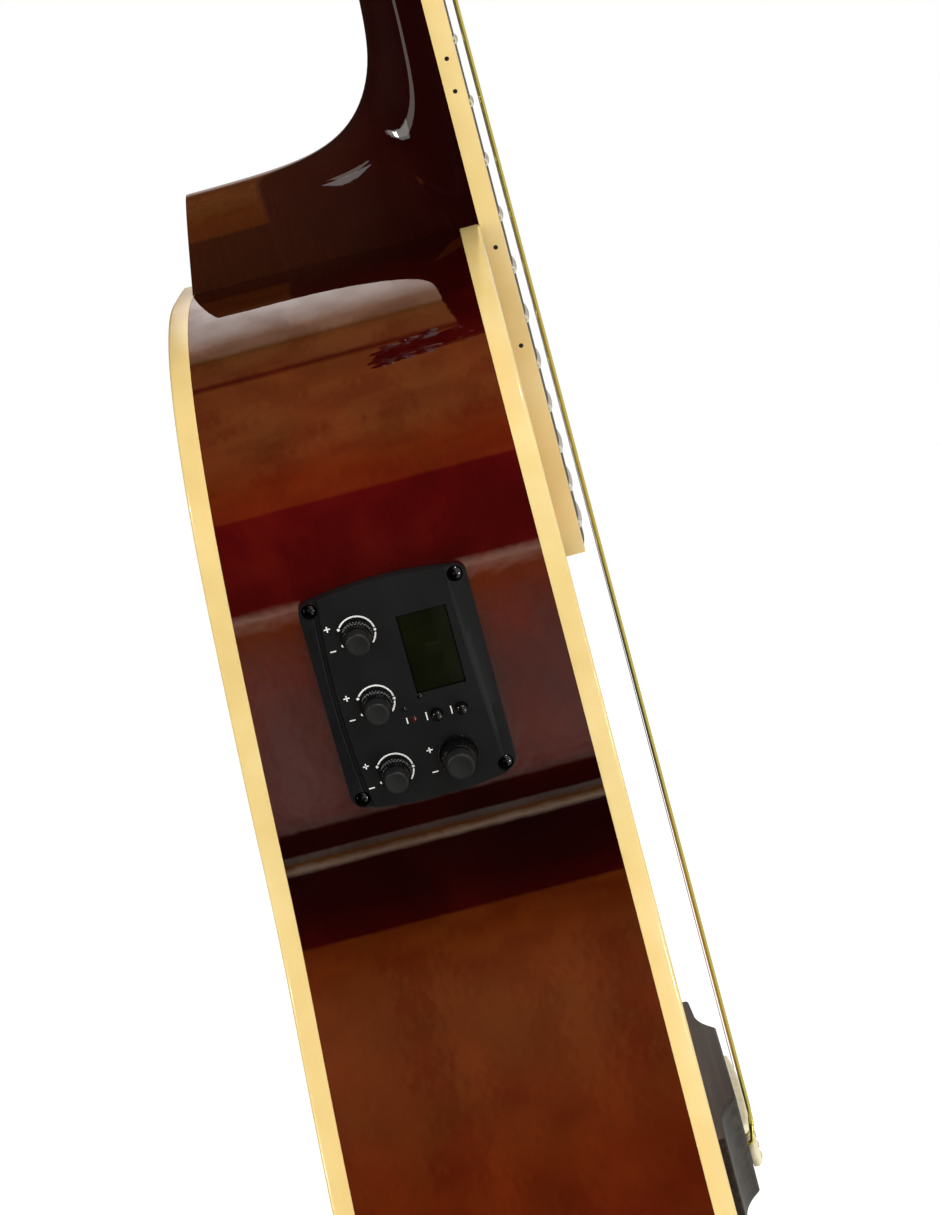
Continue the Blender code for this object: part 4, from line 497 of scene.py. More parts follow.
def saddle_z(x):
    return -SCALE_LENGTH - 1.5 * MM + x * math.tan(math.radians(SADDLE_SLANT))


def saddle_top(x):
    return -(12 * MM - x ** 2 / (2 * BOARD_RADIUS))


HEAD_TILT = 14
HEAD_MATRIX = moved(0, 0, 5.6) @ turned(90 - HEAD_TILT, "X")


def on_head(x, along_head, proud):
    return HEAD_MATRIX @ Vector((x, along_head, proud))


# The body's outline, half widths from the centreline and distances down from the joint

def run(start, out, reach_out, end, into, reach_in, count):
    points = interpolate_bezier(start, start + out * reach_out, end - into * reach_in, end, count + 1)
    return [Vector(point[:2]) for point in points[1:]]


def even(points, step):
    """The same path with its points spaced evenly."""
    walked = [0.0]
    for before, after in zip(points, points[1:]):
        walked.append(walked[-1] + (after - before).length)
    count = round(walked[-1] / step)
    spaced = []
    j = 0
    for i in range(count + 1):
        goal = walked[-1] * i / count
        while j < len(points) - 2 and walked[j + 1] < goal:
            j += 1
        share = (goal - walked[j]) / (walked[j + 1] - walked[j])
        spaced.append(points[j].lerp(points[j + 1], min(1, share)))
    return spaced


def eased(points, passes):
    """The path with its bends evened out, both ends kept."""
    for _ in range(passes):
        points = [points[0]] + [here * 0.5 + (before + after) * 0.25 for before, here, after in
                                zip(points, points[1:], points[2:])] + [points[-1]]
    return points


RUN_TOP = Vector((146 * MM, 76 * MM))
RUN_BOTTOM = Vector((128.95 * MM, 157 * MM))
STEP = 0.25 * MM


def half_outline(sign):
    """One side of the body from the neck to the tail, as (x, z) points 2 mm apart."""
    out, tailward, inward = Vector((1, 0)), Vector((0, 1)), Vector((-1, 0))
    start = RUN_TOP
    heading = (RUN_BOTTOM - start).normalized()
    seat = Vector((28.5 * MM, 0))
    waist = Vector((127.6 * MM, 170 * MM))
    lower = Vector((188 * MM, 344 * MM))
    points = [seat]
    if sign < 0:
        points += run(seat, out, 88 * MM, start, heading, 45 * MM, 80)
    else:
        floor = Vector((62 * MM, 84 * MM))
        horn = Vector((112 * MM, 50 * MM))
        start = Vector((146 * MM, 94 * MM))
        points += run(seat, tailward, 46 * MM, floor, out, 24 * MM, 50)
        points += run(floor, out, 18 * MM, horn, out, 26 * MM, 50)
        points += run(horn, out, 19 * MM, start, tailward, 25 * MM, 50)
    points += run(start, heading, 25 * MM, RUN_BOTTOM, heading, 25 * MM, 20)
    points += run(RUN_BOTTOM, heading, 6 * MM, waist, tailward, 6 * MM, 20)
    points += run(waist, tailward, 38 * MM, lower, tailward, 120 * MM, 60)
    points += run(lower, tailward, 78 * MM, Vector((0, BODY_LENGTH)), inward, 112 * MM, 80)
    points = eased(even(points, 2 * MM), 24)
    for point in points:
        # the flat for the preamp ends in a slight step, which fades out towards the waist
        beyond = point.y - 147.5 * MM
        fade = min(1, max(0, 1 - (beyond - 4 * MM) / (60 * MM)))
        point.x -= STEP * min(1, max(0, beyond / (4 * MM))) * fade
    return [Vector((sign * point.x, down(point.y))) for point in points]


BASS = [Vector((-10.6 * MM, down(0)))] + half_outline(-1)
TREBLE = [Vector((10.6 * MM, down(0)))] + half_outline(1)
OUTLINE = BASS[:-1] + TREBLE[::-1]


def inset(distance, line=OUTLINE):
    """The closed outline moved inwards by a distance."""
    moved = []
    for i, here in enumerate(line):
        first = (here - line[i - 1]).normalized()
        second = (line[(i + 1) % len(line)] - here).normalized()
        first_in = Vector((-first.y, first.x))
        second_in = Vector((-second.y, second.x))
        moved.append(here + (first_in + second_in) / (1 + first_in.dot(second_in)) * distance)
    return moved


def at_front(points, y):
    return [(x, y, z) for x, z in points]


def at_back(points, off):
    return [(x, back_depth(x, z) - off, z) for x, z in points]


# Body

def panel_matrix():
    """The fascia's frame on the straight run of the bass side: X towards the top, Y up, Z outwards."""
    top = Vector((-RUN_TOP.x, 0, down(RUN_TOP.y)))
    bottom = Vector((-RUN_BOTTOM.x, 0, down(RUN_BOTTOM.y)))
    head = (top - bottom).normalized()
    right = Vector((0, -1, 0))
    turn = Matrix((right, head, right.cross(head))).transposed().to_4x4()
    share = (110.7 * MM - RUN_TOP.y) / (RUN_BOTTOM.y - RUN_TOP.y)
    return Matrix.Translation(top.lerp(bottom, share) + Vector((0, 51.6 * MM, 0))) @ turn


PANEL = panel_matrix()
CUTOUT = (20.4 * MM, 29.0 * MM)


def cut_for_panel(bm):
    """Slices the bass side along the cut-out's edges and takes out what lies inside."""
    inverse = PANEL.inverted()
    for i, normal in enumerate(((1, 0, 0), (0, 1, 0))):
        for sign in (-1, 1):
            near = [face for face in bm.faces if (inverse @ face.calc_center_median()).length < 60 * MM]
            geom = list({part for face in near for part in (*face.verts, *face.edges)}) + near
            bmesh.ops.bisect_plane(bm, geom=geom, dist=0.00001,
                                   plane_co=PANEL @ (Vector(normal) * sign * CUTOUT[i]),
                                   plane_no=PANEL.to_3x3() @ Vector(normal))
    inside = []
    for face in bm.faces:
        spot = inverse @ face.calc_center_median()
        if abs(spot.x) < CUTOUT[0] and abs(spot.y) < CUTOUT[1] and abs(spot.z) < 5 * MM:
            inside.append(face)
    bmesh.ops.delete(bm, geom=inside, context="FACES")


def build_side(line, sign):
    """One bent rib between the two bindings, 2.5 mm thick."""
    def build(bm):
        front = BINDING_HEIGHT + 0.1 * MM
        skin(bm, [[(x, front + (back_depth(x, z) - 2 * front) * share, z) for x, z in line]
                  for share in along(0, 1, 9)], closed=False)
        if sign < 0:
            cut_for_panel(bm)
        bm.normal_update()
        widest = Vector((sign * 0.19, 0.05, -0.7))
        middle = min(bm.faces, key=lambda face: (face.calc_center_median() - widest).length)
        if middle.normal.x * sign < 0:
            bmesh.ops.reverse_faces(bm, faces=bm.faces)
        bmesh.ops.solidify(bm, geom=bm.faces[:], thickness=SIDE_THICKNESS)
    return build


piece("bass_side", build_side(BASS, -1), LACQUER, replaces="side_bass", sharp=50)
piece("treble_side", build_side(TREBLE, 1), LACQUER, replaces="side_treble", sharp=50)


def build_binding(edge):
    """A 2 x 6 mm strip round the body, its outer corner rounded by scraping."""
    def build(bm):
        turn = 0.9 * MM
        profile = [(turn * (1 - math.cos(a)), turn * (1 - math.sin(a))) for a in along(0, math.pi / 2, 5)]
        profile += [(BINDING, 0), (BINDING, BINDING_HEIGHT), (0, BINDING_HEIGHT)]
        place_row = at_front if edge == "front" else at_back
        skin(bm, [place_row(inset(distance), off) for distance, off in profile], ring=True)
    return build


piece("top_binding", build_binding("front"), CREAM, replaces="binding_top", sharp=50)
piece("back_binding", build_binding("back"), CREAM, replaces="binding_back", sharp=50)


def build_linings(bm):
    """Kerfed linings glued inside both edges of the sides: wedge blocks 4 mm long, 1 mm apart."""
    for line, sign in ((BASS, -1), (TREBLE, 1)):
        spaced = even(line[14:], 5 * MM)
        for here, after in zip(spaced, spaced[1:]):
            heading = (after - here).normalized()
            inward = Vector((-heading.y, heading.x)) * -sign
            middle = here + inward * (SIDE_THICKNESS + 0.1 * MM)
            spot = PANEL.inverted() @ Vector((middle.x, 50 * MM, middle.y))
            by_neck = here.y > down(55 * MM)
            by_tail = here.y < down(BODY_LENGTH - 40 * MM) and abs(here.x) < 62 * MM
            if by_neck or by_tail or (sign < 0 and abs(spot.y) < 32 * MM and here.y > down(180 * MM)):
                continue
            deep = back_depth(middle.x, middle.y)
            for foot, rise in ((PLATE + 0.2 * MM, 1), (deep - PLATE - 0.2 * MM - 0.25 * MM, -1)):
                start = len(bm.verts)
                block(bm, (0, 0, -2), (5.5, 13, 2))
                bm.verts.ensure_lookup_table()
                for vert in bm.verts[start:]:
                    if vert.co.x > 3 * MM and vert.co.y > 6 * MM:
                        vert.co.x = 1.2 * MM
                    flat = middle + inward * vert.co.x + heading * vert.co.z
                    vert.co = (flat.x, foot + rise * vert.co.y, flat.y)


piece("kerfed_linings", build_linings, BARE, sharp=30)


def build_top(bm):
    """The soundboard: outline and hole filled flat, thickened, the hole's edge softened."""
    rim = thread(bm, at_front(inset(3.5 * MM), 0))
    ring = [(SOUNDHOLE * math.cos(a), 0, down(SOUNDHOLE_DOWN) + SOUNDHOLE * math.sin(a))
            for a in along(0, 2 * math.pi, 145)[:-1]]
    hole = thread(bm, ring)
    bmesh.ops.triangle_fill(bm, edges=rim + hole, use_beauty=True, use_dissolve=False, normal=(0, -1, 0))
    up = bmesh.ops.extrude_face_region(bm, geom=bm.faces[:])
    moved = [part for part in up["geom"] if isinstance(part, bmesh.types.BMVert)]
    bmesh.ops.translate(bm, verts=moved, vec=(0, PLATE, 0))
    outwards(bm)
    centre = Vector((0, 0, down(SOUNDHOLE_DOWN)))
    at_lip = {vert for vert in bm.verts if (vert.co - centre).length < SOUNDHOLE + 0.5 * MM
              and abs(vert.co.y) < 0.1 * MM}
    rounded(bm, [edge for edge in bm.edges if at_lip.issuperset(edge.verts)], 0.7 * MM)


piece("spruce_top", build_top, SPRUCE, replaces="soundboard")


def build_purfling(bm):
    """Three thin lines inside the binding: black, cream, black."""
    for index, (near, far) in enumerate(((2.05, 2.5), (2.5, 3.0), (3.0, 3.45))):
        start = len(bm.faces)
        corners = [(near, -0.02), (far, -0.02), (far, 1.2), (near, 1.2)]
        skin(bm, [at_front(inset(distance * MM), y * MM) for distance, y in corners], ring=True)
        bm.faces.ensure_lookup_table()
        for face in bm.faces[start:]:
            face.material_index = index % 2


piece("purfling", build_purfling, FIBRE, CREAM)


def build_back(bm):
    """The arched back: sliced into 12 mm squares, lifted to the arch and thickened."""
    bm.faces.new([bm.verts.new((x, 0, z)) for x, z in inset(BINDING + 0.02 * MM)])
    for numbers, axis, origin in ((range(-16, 16), (1, 0, 0), 0), (range(-40, 0), (0, 0, 1), JOINT_Z)):
        for i in numbers:
            bmesh.ops.bisect_plane(bm, geom=bm.verts[:] + bm.edges[:] + bm.faces[:], plane_no=axis,
                                   plane_co=Vector(axis) * (origin + (i + 0.5) * 12 * MM))
    for vert in bm.verts:
        vert.co.y = back_depth(vert.co.x, vert.co.z)
    bm.normal_update()
    bm.faces.ensure_lookup_table()
    if bm.faces[0].normal.y < 0:
        bmesh.ops.reverse_faces(bm, faces=bm.faces)
    inner = bmesh.ops.extrude_face_region(bm, geom=bm.faces[:])
    moved = [part for part in inner["geom"] if isinstance(part, bmesh.types.BMVert)]
    bmesh.ops.translate(bm, verts=moved, vec=(0, -PLATE, 0))


piece("arched_back", build_back, BACK_LACQUER, replaces="back_plate")


def tail_strip(low, high, proud):
    def build(bm):
        foot = down(BODY_LENGTH)
        deep = back_depth(0, foot) - BINDING_HEIGHT
        block(bm, (low * MM, BINDING_HEIGHT, foot - proud * MM), (high * MM, deep, foot + 1.5 * MM), unit=1)
    return build


# the seam at the tail is covered by a strip: cream between two black lines
for name, low, high, proud, plastic in (
        ("tail_strip", -3, 3, 0.06, CREAM), ("tail_line_bass", -3.5, -3, 0.05, FIBRE),
        ("tail_line_treble", 3, 3.5, 0.05, FIBRE)):
    piece(name, tail_strip(low, high, proud), plastic)


# flat rings let into the soundboard round the hole
HOLE_FACE = Matrix.Translation((0, 0, down(SOUNDHOLE_DOWN))) @ turned(90, "X")
for number, (inner, outer, wood) in enumerate((
        (54, 54.6, FIBRE), (54.6, 55.4, CREAM), (55.4, 56, FIBRE), (56, 60, BRIDGE_WOOD),
        (60, 60.6, FIBRE), (60.6, 61.4, CREAM), (61.4, 62, FIBRE))):
    band = [(inner, 0.03), (outer, 0.03), (outer, -0.77), (inner, -0.77), (inner, 0.03)]
    piece(f"rosette_ring_{number + 1}", lathed(band, 144), wood, matrix=HOLE_FACE,
          replaces="rosette" if number == 0 else None)


# Neck and headstock

def bent(value, power):
    """A power that keeps the value's sign."""
    return math.copysign(abs(value) ** power, value)


def half_ring(power):
    """Unit half superellipse from (-1, 0) over (0, 1) to (1, 0)."""
    return [(-bent(math.cos(a), 2 / power), bent(math.sin(a), 2 / power)) for a in along(0, math.pi, 29)]


def shaft_depth(z):
    return 15.5 * MM + 2 * MM * min(1, z / JOINT_Z)


HEAD_LENGTH = 176 * MM
HEAD_THICKNESS = 14.5 * MM
FLARE = 26 * MM
CROWN = 12 * MM


def head_half(up):
    """Half width of the headstock at a distance up from the nut."""
    if up < FLARE:
        share = max(0, up / FLARE)
        return 21.5 * MM + 14 * MM * share * share * (3 - 2 * share)
    crown = HEAD_LENGTH - CROWN
    half = 35.5 * MM + 3 * MM * (min(up, crown) - FLARE) / (crown - FLARE)
    if up > crown:
        half *= max(0, 1 - ((up - crown) / CROWN) ** 2) ** 0.5 * 0.55 + 0.45
    return half


HEAD_STATIONS = [FLARE * share for share in (0.04, 0.15, 0.27, 0.4, 0.52, 0.64, 0.76, 0.88, 1)]
HEAD_STATIONS += along(FLARE + 12 * MM, HEAD_LENGTH - CROWN, 10)
HEAD_STATIONS += [HEAD_LENGTH - CROWN * share for share in (0.8, 0.6, 0.45, 0.3, 0.2, 0.12, 0.06, 0.02, 0)]


def head_section(up):
    ease = min(1, max(0, up / FLARE))
    power = 2.3 + 10 * ease ** 1.5
    depth = 16.3 * MM + (HEAD_THICKNESS - 16.3 * MM) * ease
    return [on_head(head_half(up) * x, up, -depth * y) for x, y in half_ring(power)]


def heel_half(y):
    share = min(1, max(0, y) / (60 * MM))
    return 27.25 * MM - 14.25 * MM * share * share * (3 - 2 * share)


def heel_silhouette():
    """(depth, distance up from the joint) from the shaft round to the heel's cap, evenly spaced."""
    path = []
    for up in [29.5005 * MM + 110 * MM * (i / 400) ** 3 for i in range(401)][::-1]:
        fall = 17.5 * MM - 11 * MM * math.log((up - 29.5 * MM) / (28 * MM))
        shaft = shaft_depth(JOINT_Z + up)
        path.append(Vector(((fall + shaft + math.sqrt((fall - shaft) ** 2 + (5 * MM) ** 2)) / 2, up)))
    cap = 84.7 * MM
    path = [point for point in path if point.x < cap] + [Vector((cap, 29.5 * MM))]
    return even(path, 2.4 * MM)


def heel_sections():
    """Sections that fan round the joint's corner, from the shaft to the heel's cap."""
    outer = heel_silhouette()
    start = outer[0].y
    inner = even([Vector((0, start)), Vector((0, 0.02 * MM)), Vector((90 * MM, 0.02 * MM))],
                 (start + 90 * MM) / (len(outer) - 1))[:len(outer)]
    rows = []
    for (y_in, up_in), (y_out, up_out) in zip(inner, outer):
        share = min(1, y_in / (60 * MM))
        half = min(board_half(JOINT_Z + up_in), heel_half(y_in) if y_in > 0 else 1)
        rows.append([(half * x, y_in + (y_out - y_in) * reach, JOINT_Z + up_in + (up_out - up_in) * reach)
                     for x, reach in half_ring(2.3 + 0.3 * share)])
    return rows


def build_neck(bm):
    sections = [head_section(up) for up in HEAD_STATIONS[::-1]]
    top = JOINT_Z + heel_silhouette()[0].y
    for z in along(0, top + 6 * MM, 22):
        half = board_half(z)
        sections.append([(half * x, shaft_depth(z) * y, z) for x, y in half_ring(2.3)])
    sections += heel_sections()
    skin(bm, sections)


def tuner_place(index):
    row = index if index < 3 else 5 - index
    sign = -1 if index < 3 else 1
    return sign, sign * (24 * MM + row * 1.5 * MM), 44 * MM + row * 39 * MM


def tuner_matrix(index):
    sign, x, up = tuner_place(index)
    return HEAD_MATRIX @ Matrix.Translation((x, up, 0)) @ turned(0 if sign > 0 else 180, "Z")


def post_holes(bm):
    for index in range(6):
        rod(bm, 5, -30, 10, 24, tuner_matrix(index))


piece("carved_neck", build_neck, MAHOGANY, replaces="neck", sharp=40, cuts=[post_holes])


def build_veneer(bm):
    """The headstock's overlay, its front edge eased."""
    rim = [(sign * head_half(up), up) for sign, stations in ((1, HEAD_STATIONS), (-1, HEAD_STATIONS[::-1]))
           for up in stations]
    skin(bm, [[on_head(x * (1 - ease / 40), up, GAP + lift * MM) for x, up in rim]
              for lift, ease in ((0, 0), (1.1, 0), (1.38, 0.12), (1.5, 0.4))])


piece("headstock_face", build_veneer, BRIDGE_WOOD, replaces="headstock_veneer", cuts=[post_holes])


# Fretboard

BOARD_FOOT = -0.01 * MM


def build_board(bm):
    rows = []
    for z in along(-GAP / 2, -BOARD_LENGTH + 2.1 * MM, 24):
        half = board_half(z) - 2.1 * MM
        row = [(x, board_top(x, z), z) for x in along(-half, half, 17)]
        rows.append(row + [(half, BOARD_FOOT, z), (-half, BOARD_FOOT, z)])
    skin(bm, rows)


piece("rosewood_board", build_board, BOARD_WOOD, replaces="fretboard")


def build_board_binding(bm):
    """A cream strip down both edges of the board and across its end, the top edge eased."""
    end = -BOARD_LENGTH

    def loop(off, y):
        inner = end + off
        return [(-board_half(0) + off, y, 0), (-board_half(inner) + off, y, inner),
                (board_half(inner) - off, y, inner), (board_half(0) - off, y, 0)]

    top = -GAP - BOARD_EDGE
    profile = [(0, BOARD_FOOT), (0, top + 0.35 * MM), (0.12 * MM, top + 0.1 * MM), (0.35 * MM, top),
               (2.05 * MM, top - 0.1 * MM), (2.05 * MM, BOARD_FOOT)]
    rows = [thread(bm, loop(off, y), closed=False) for off, y in profile]
    for near, far in zip(rows, rows[1:] + rows[:1]):
        bmesh.ops.bridge_loops(bm, edges=near + far)
    for nut_end in (True, False):
        open_edges = [edge for edge in bm.edges if edge.is_boundary and (edge.verts[0].co.x < 0) == nut_end]
        bmesh.ops.holes_fill(bm, edges=open_edges, sides=0)


piece("board_binding", build_board_binding, CREAM, replaces="fretboard_binding")


def build_frets(bm):
    """Crowned wires, 2.4 mm wide and 0.8 mm high, their ends filed at a slope."""
    for number in range(1, FRET_COUNT + 1):
        z = -fret_distance(number)
        full = board_half(z) - 0.45 * MM
        rows = []
        stations = [(-full, 0.05), (-full + 0.6 * MM, 0.35), (-full + 1.3 * MM, 0.75), (-full + 2.0 * MM, 1)]
        stations += [(x, 1) for x in along(-full + 2.5 * MM, full - 2.5 * MM, 9)]
        stations += [(-x, tall) for x, tall in stations[3::-1]]
        for x, tall in stations:
            foot = board_top(x, z) - 0.01 * MM
            row = [(x, foot - tall * 0.8 * MM * math.sin(a) ** 0.8, z - 1.2 * MM * math.cos(a))
                   for a in along(0, math.pi, 9)]
            rows.append(row + [(x, foot + 0.35 * MM, z + 0.5 * MM), (x, foot + 0.35 * MM, z - 0.5 * MM)])
        skin(bm, rows)


piece("fret_wires", build_frets, NICKEL, sharp=50)


def build_face_dots(bm):
    for fret, spread in ((3, 0), (5, 0), (7, 0), (9, 0), (12, 8.5), (15, 0), (17, 0), (19, 0), (21, 0)):
        z = -(fret_distance(fret) + fret_distance(fret - 1)) / 2
        for x in {spread * MM, -spread * MM}:
            spot = Matrix.Translation((x, board_top(x, z) + 0.37 * MM, z))
            rod(bm, 3, -0.4, 0.4, 32, spot @ turned(90, "X"))


piece("face_dots", build_face_dots, PEARL)


def build_side_dots(bm):
    for fret in (3, 5, 7, 9, 12, 15, 17):
        middle = -(fret_distance(fret) + fret_distance(fret - 1)) / 2
        for z in ((middle - 5 * MM, middle + 5 * MM) if fret == 12 else (middle,)):
            for sign in (-1, 1):
                spot = Matrix.Translation((sign * board_half(z), -3.1 * MM, z))
                rod(bm, 0.7, -0.4, 0.03, 20, spot @ turned(sign * 90, "Y"))


piece("side_dots", build_side_dots, FIBRE)


def string_at_nut(index):
    x = string_x(index, NUT_SPREAD)
    return Vector((x, board_top(x, 0) - 1.6 * MM, GAP + 2.5 * MM))


def build_nut(bm):
    half = board_half(0) - 0.1 * MM
    ring = [(-GAP, 0.3), (-8.7 * MM, 0.3), (-9 * MM, 0.6), (-9 * MM, 2.2), (-8.7 * MM, 3.2), (-8.0 * MM, 4.3),
            (-7.0 * MM, 5.0), (-6.2 * MM, 5.3), (-GAP, 5.3)]
    rows = []
    for x, ease in ((-half, 0.25), (-half + 0.25 * MM, 0), (half - 0.25 * MM, 0), (half, 0.25)):
        rows.append([(x, y + (ease * MM if y < -5 * MM else 0), z * MM) for y, z in ring])
    skin(bm, rows)


def nut_slots(bm):
    for index, diameter in enumerate(STRING_DIAMETERS):
        centre = string_at_nut(index)
        wide = diameter / 2 + 0.1 * MM
        block(bm, (centre.x - wide, -14 * MM, -2 * MM), (centre.x + wide, centre.y + wide, 8 * MM), unit=1)


piece("bone_nut", build_nut, IVORY, replaces="nut", cuts=[nut_slots])


# Bridge

def build_bridge(bm):
    """Block with scooped wings, its edges eased."""
    half = [(40 * MM, 9 * MM)]
    for share in along(0.06, 1, 12):
        half.append((41 * MM + 22.2 * MM * share, 3.2 * MM + 5.4 * MM * (1 - share) ** 2))
    half += [(79 * MM, 2.6 * MM), (79 * MM, GAP)]
    profile = half + [(-x, h) for x, h in half[::-1]]
    skin(bm, [[(x, -h, z) for x, h in profile] for z in (-672 * MM, -640 * MM)])
    outwards(bm)
    upper = [edge for edge in crisp(bm, 40) if max(vert.co.y for vert in edge.verts) < -1 * MM]
    rounded(bm, upper, 0.9 * MM, 3)


SLANT = Matrix.Translation((0, 0, saddle_z(0))) @ turned(-SADDLE_SLANT, "Y")


def saddle_slot(bm):
    block(bm, (-36.3, -14, -1.6), (36.3, -2.5, 1.6))
    place(bm, SLANT)


def string_behind_pin(index):
    return 3.4 * MM + GAP + STRING_DIAMETERS[index] / 2


def pin_matrix(index, y):
    """A pin's frame, its Z standing out of the bridge."""
    return Matrix.Translation((string_x(index, PIN_SPREAD), y, PIN_Z)) @ turned(90, "X")


def pin_holes(bm):
    for index in range(6):
        rod(bm, 2.7, -8, 14, 24, pin_matrix(index, 0))


def pin_slots(bm):
    for index in range(6):
        x = string_x(index, PIN_SPREAD)
        wide = STRING_DIAMETERS[index] / 2 + 0.2 * MM
        block(bm, (x - wide, -14 * MM, PIN_Z), (x + wide, 8 * MM, PIN_Z + string_behind_pin(index) + wide),
              unit=1)


piece("scooped_bridge", build_bridge, BRIDGE_WOOD, replaces="bridge",
      cuts=[saddle_slot, pin_holes, pin_slots])


def build_saddle(bm):
    rows = []
    for x in along(-36 * MM, 36 * MM, 37):
        end = min(1, (36 * MM - abs(x)) / (2 * MM))
        top = saddle_top(x) + 1.6 * MM * (1 - end) ** 2
        crown = [(x, top + 0.9 * MM * (1 - math.sin(a)), -1.5 * MM * math.cos(a))
                 for a in along(0, math.pi, 9)]
        rows.append([(x, -3.2 * MM, -1.5 * MM), *crown, (x, -3.2 * MM, 1.5 * MM)])
    skin(bm, rows)


piece("bone_saddle", build_saddle, IVORY, replaces="saddle", matrix=SLANT, sharp=50)


PIN = lathed([*dome(3.4, 1.2, 2.0, 8), (3.3, 0.5), (3.0, 0), (2.4, 0), (2.1, -14.4), (1.2, -15.1),
              (0, -15.2)], 28)


def build_pin_dot(bm):
    rod(bm, 1.1, 2.95, 3.22, 20)


for index in range(6):
    spot = pin_matrix(index, PIN_SEAT)
    piece(f"domed_pin_{index + 1}", PIN, IVORY, replaces=f"bridge_pin_{index + 1}", matrix=spot)
    piece(f"pin_dot_{index + 1}", build_pin_dot, FIBRE, matrix=spot)


# Strings

def tangent_angle(point, centre, radius, side):
    away = Vector(point) - Vector(centre)
    return math.atan2(away.y, away.x) + side * math.acos(radius / away.length)


def winding(index):
    """The string from the nut round its post, in world coordinates."""
    radius = STRING_DIAMETERS[index] / 2
    sign, x, up = tuner_place(index)
    reach = POST_WAIST * MM + GAP + radius
    nut_point = HEAD_MATRIX.inverted() @ string_at_nut(index)
    start = tangent_angle((nut_point.x, nut_point.y), (x, up), reach, -sign)
    pitch = STRING_DIAMETERS[index] + 0.55 * MM
    lowest = 5.0 * MM + radius
    points = []
    for i in range(int(STRING_TURNS[index] * 36) + 1):
        # 36 points to a turn
        a = start - sign * 2 * math.pi * i / 36
        points.append(Vector((x + reach * math.cos(a), up + reach * math.sin(a), lowest + pitch * i / 36)))
    heading = (points[-1] - points[-2]).normalized()
    points.append(points[-1] + heading * (3 * radius + 1.2 * MM))
    return [HEAD_MATRIX @ point for point in points]


def string_route(index):
    """Points and thicknesses from the ball under the plate to the string's end at the post."""
    radius = STRING_DIAMETERS[index] / 2
    x = string_x(index, PIN_SPREAD)
    z = PIN_Z + string_behind_pin(index)
    under = 6.6 * MM
    route = [(Vector((x, under + 4 * MM, z)), 2 * MM), (Vector((x, under + 0.5 * MM, z)), 2 * MM),
             (Vector((x, under, z)), radius)]
    bend = 1.6 * MM
    rise = PIN_SEAT
    over = saddle_top(x) - radius - GAP
    leave = tangent_angle((saddle_z(x), over), (z + bend, rise), bend, -1)
    for share in along(0, 1, 9):
        angle = math.pi + (leave % (2 * math.pi) - math.pi) * share
        route.append((Vector((x, rise + bend * math.sin(angle), z + bend + bend * math.cos(angle))), radius))
    nut = string_at_nut(index)
    crest = Vector((x, over, saddle_z(x)))
    route.append((crest + Vector((0, 0.15 * MM, -0.9 * MM)), radius))
    wraps = round((nut - crest).length / WRAP_PITCH) if index < 4 else 2
    for i in range(1, 2 * wraps):
        # the wrap's ridges, one to every second point
        ridge = 0.9 if index < 4 and i % 2 else 1.0
        route.append((crest.lerp(nut, i / (2 * wraps)), radius * ridge))
    route.append((nut + Vector((0, 0.05 * MM, 1.6 * MM)), radius))
    return route + [(point, radius) for point in winding(index)]


def make_string(index, material):
    curve = bpy.data.curves.new(f"string_wire_{index + 1}", "CURVE")
    curve.dimensions = "3D"
    curve.bevel_depth = 1.0
    curve.bevel_resolution = 3
    curve.use_fill_caps = True
    spline = curve.splines.new("POLY")
    route = string_route(index)
    spline.points.add(len(route) - 1)
    for knot, (point, radius) in zip(spline.points, route):
        knot.co = (*point, 1.0)
        knot.radius = radius
    curve.materials.append(material)
    string = bpy.data.objects.new(curve.name, curve)
    bpy.context.scene.collection.objects.link(string)
    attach(string, "guitar")
    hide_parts(f"string_{index + 1}")


for index in range(6):
    make_string(index, BRONZE if index < 4 else STEEL)


# Preamp

PANEL_HALF = (23.9, 33.7)
PANEL_CORNER = 4.0
PANEL_BOW = 1.8


def panel_outline():
    """Rounded corners with the short edges bowed outwards, in the panel's own X and Y, in mm."""
    points = []
    for turn in range(4):
        sx = 1 if turn in (0, 3) else -1
        sy = 1 if turn in (0, 1) else -1
        cx = sx * (PANEL_HALF[0] - PANEL_CORNER)
        cy = sy * (PANEL_HALF[1] - PANEL_BOW - PANEL_CORNER)
        for i in range(9):
            angle = math.pi / 2 * (turn + i / 8)
            points.append((cx + PANEL_CORNER * math.cos(angle), cy + PANEL_CORNER * math.sin(angle)))
        if turn in (0, 2):
            for share in along(0.9, -0.9, 13):
                points.append((share * cx, sy * (PANEL_HALF[1] - PANEL_BOW * share ** 2)))
    return points


# the fascia's section from its left edge to its right one: groove, raised middle, hollow slope
PANEL_PROFILE = [
    (-26, 0.3), (26, 0.3), (26, 2.2), (23.4, 2.4), (21.0, 2.5), (19.6, 2.8), (18.6, 3.3), (17.9, 4.0),
    (-17.6, 4.0), (-18.0, 3.3), (-18.2, 2.9), (-18.8, 2.9), (-19.1, 3.3), (-19.4, 3.4), (-22.8, 3.1),
    (-26, 2.4)]


def build_fascia(bm):
    """Moulded fascia; the groove bends left and the slope leans right towards the panel's middle."""
    rows = []
    for share in along(-1.04, 1.04, 41):
        row = []
        for x, z in PANEL_PROFILE:
            if -20 < x < -17:
                x -= 2.0 * (1 - share ** 2)
            if 17 < x < 20:
                x = 17.9 + (x - 17.9) * (0.7 - 0.35 * share ** 2) + 0.9 - 1.45 * share + 0.35 * share ** 2
            row.append((x * MM, share * PANEL_HALF[1] * MM, z * MM))
        rows.append(row)
    skin(bm, rows)


def fascia_rim(bm):
    skin(bm, [[(x * MM, y * MM, z * MM) for x, y in panel_outline()] for z in (0, 10)])


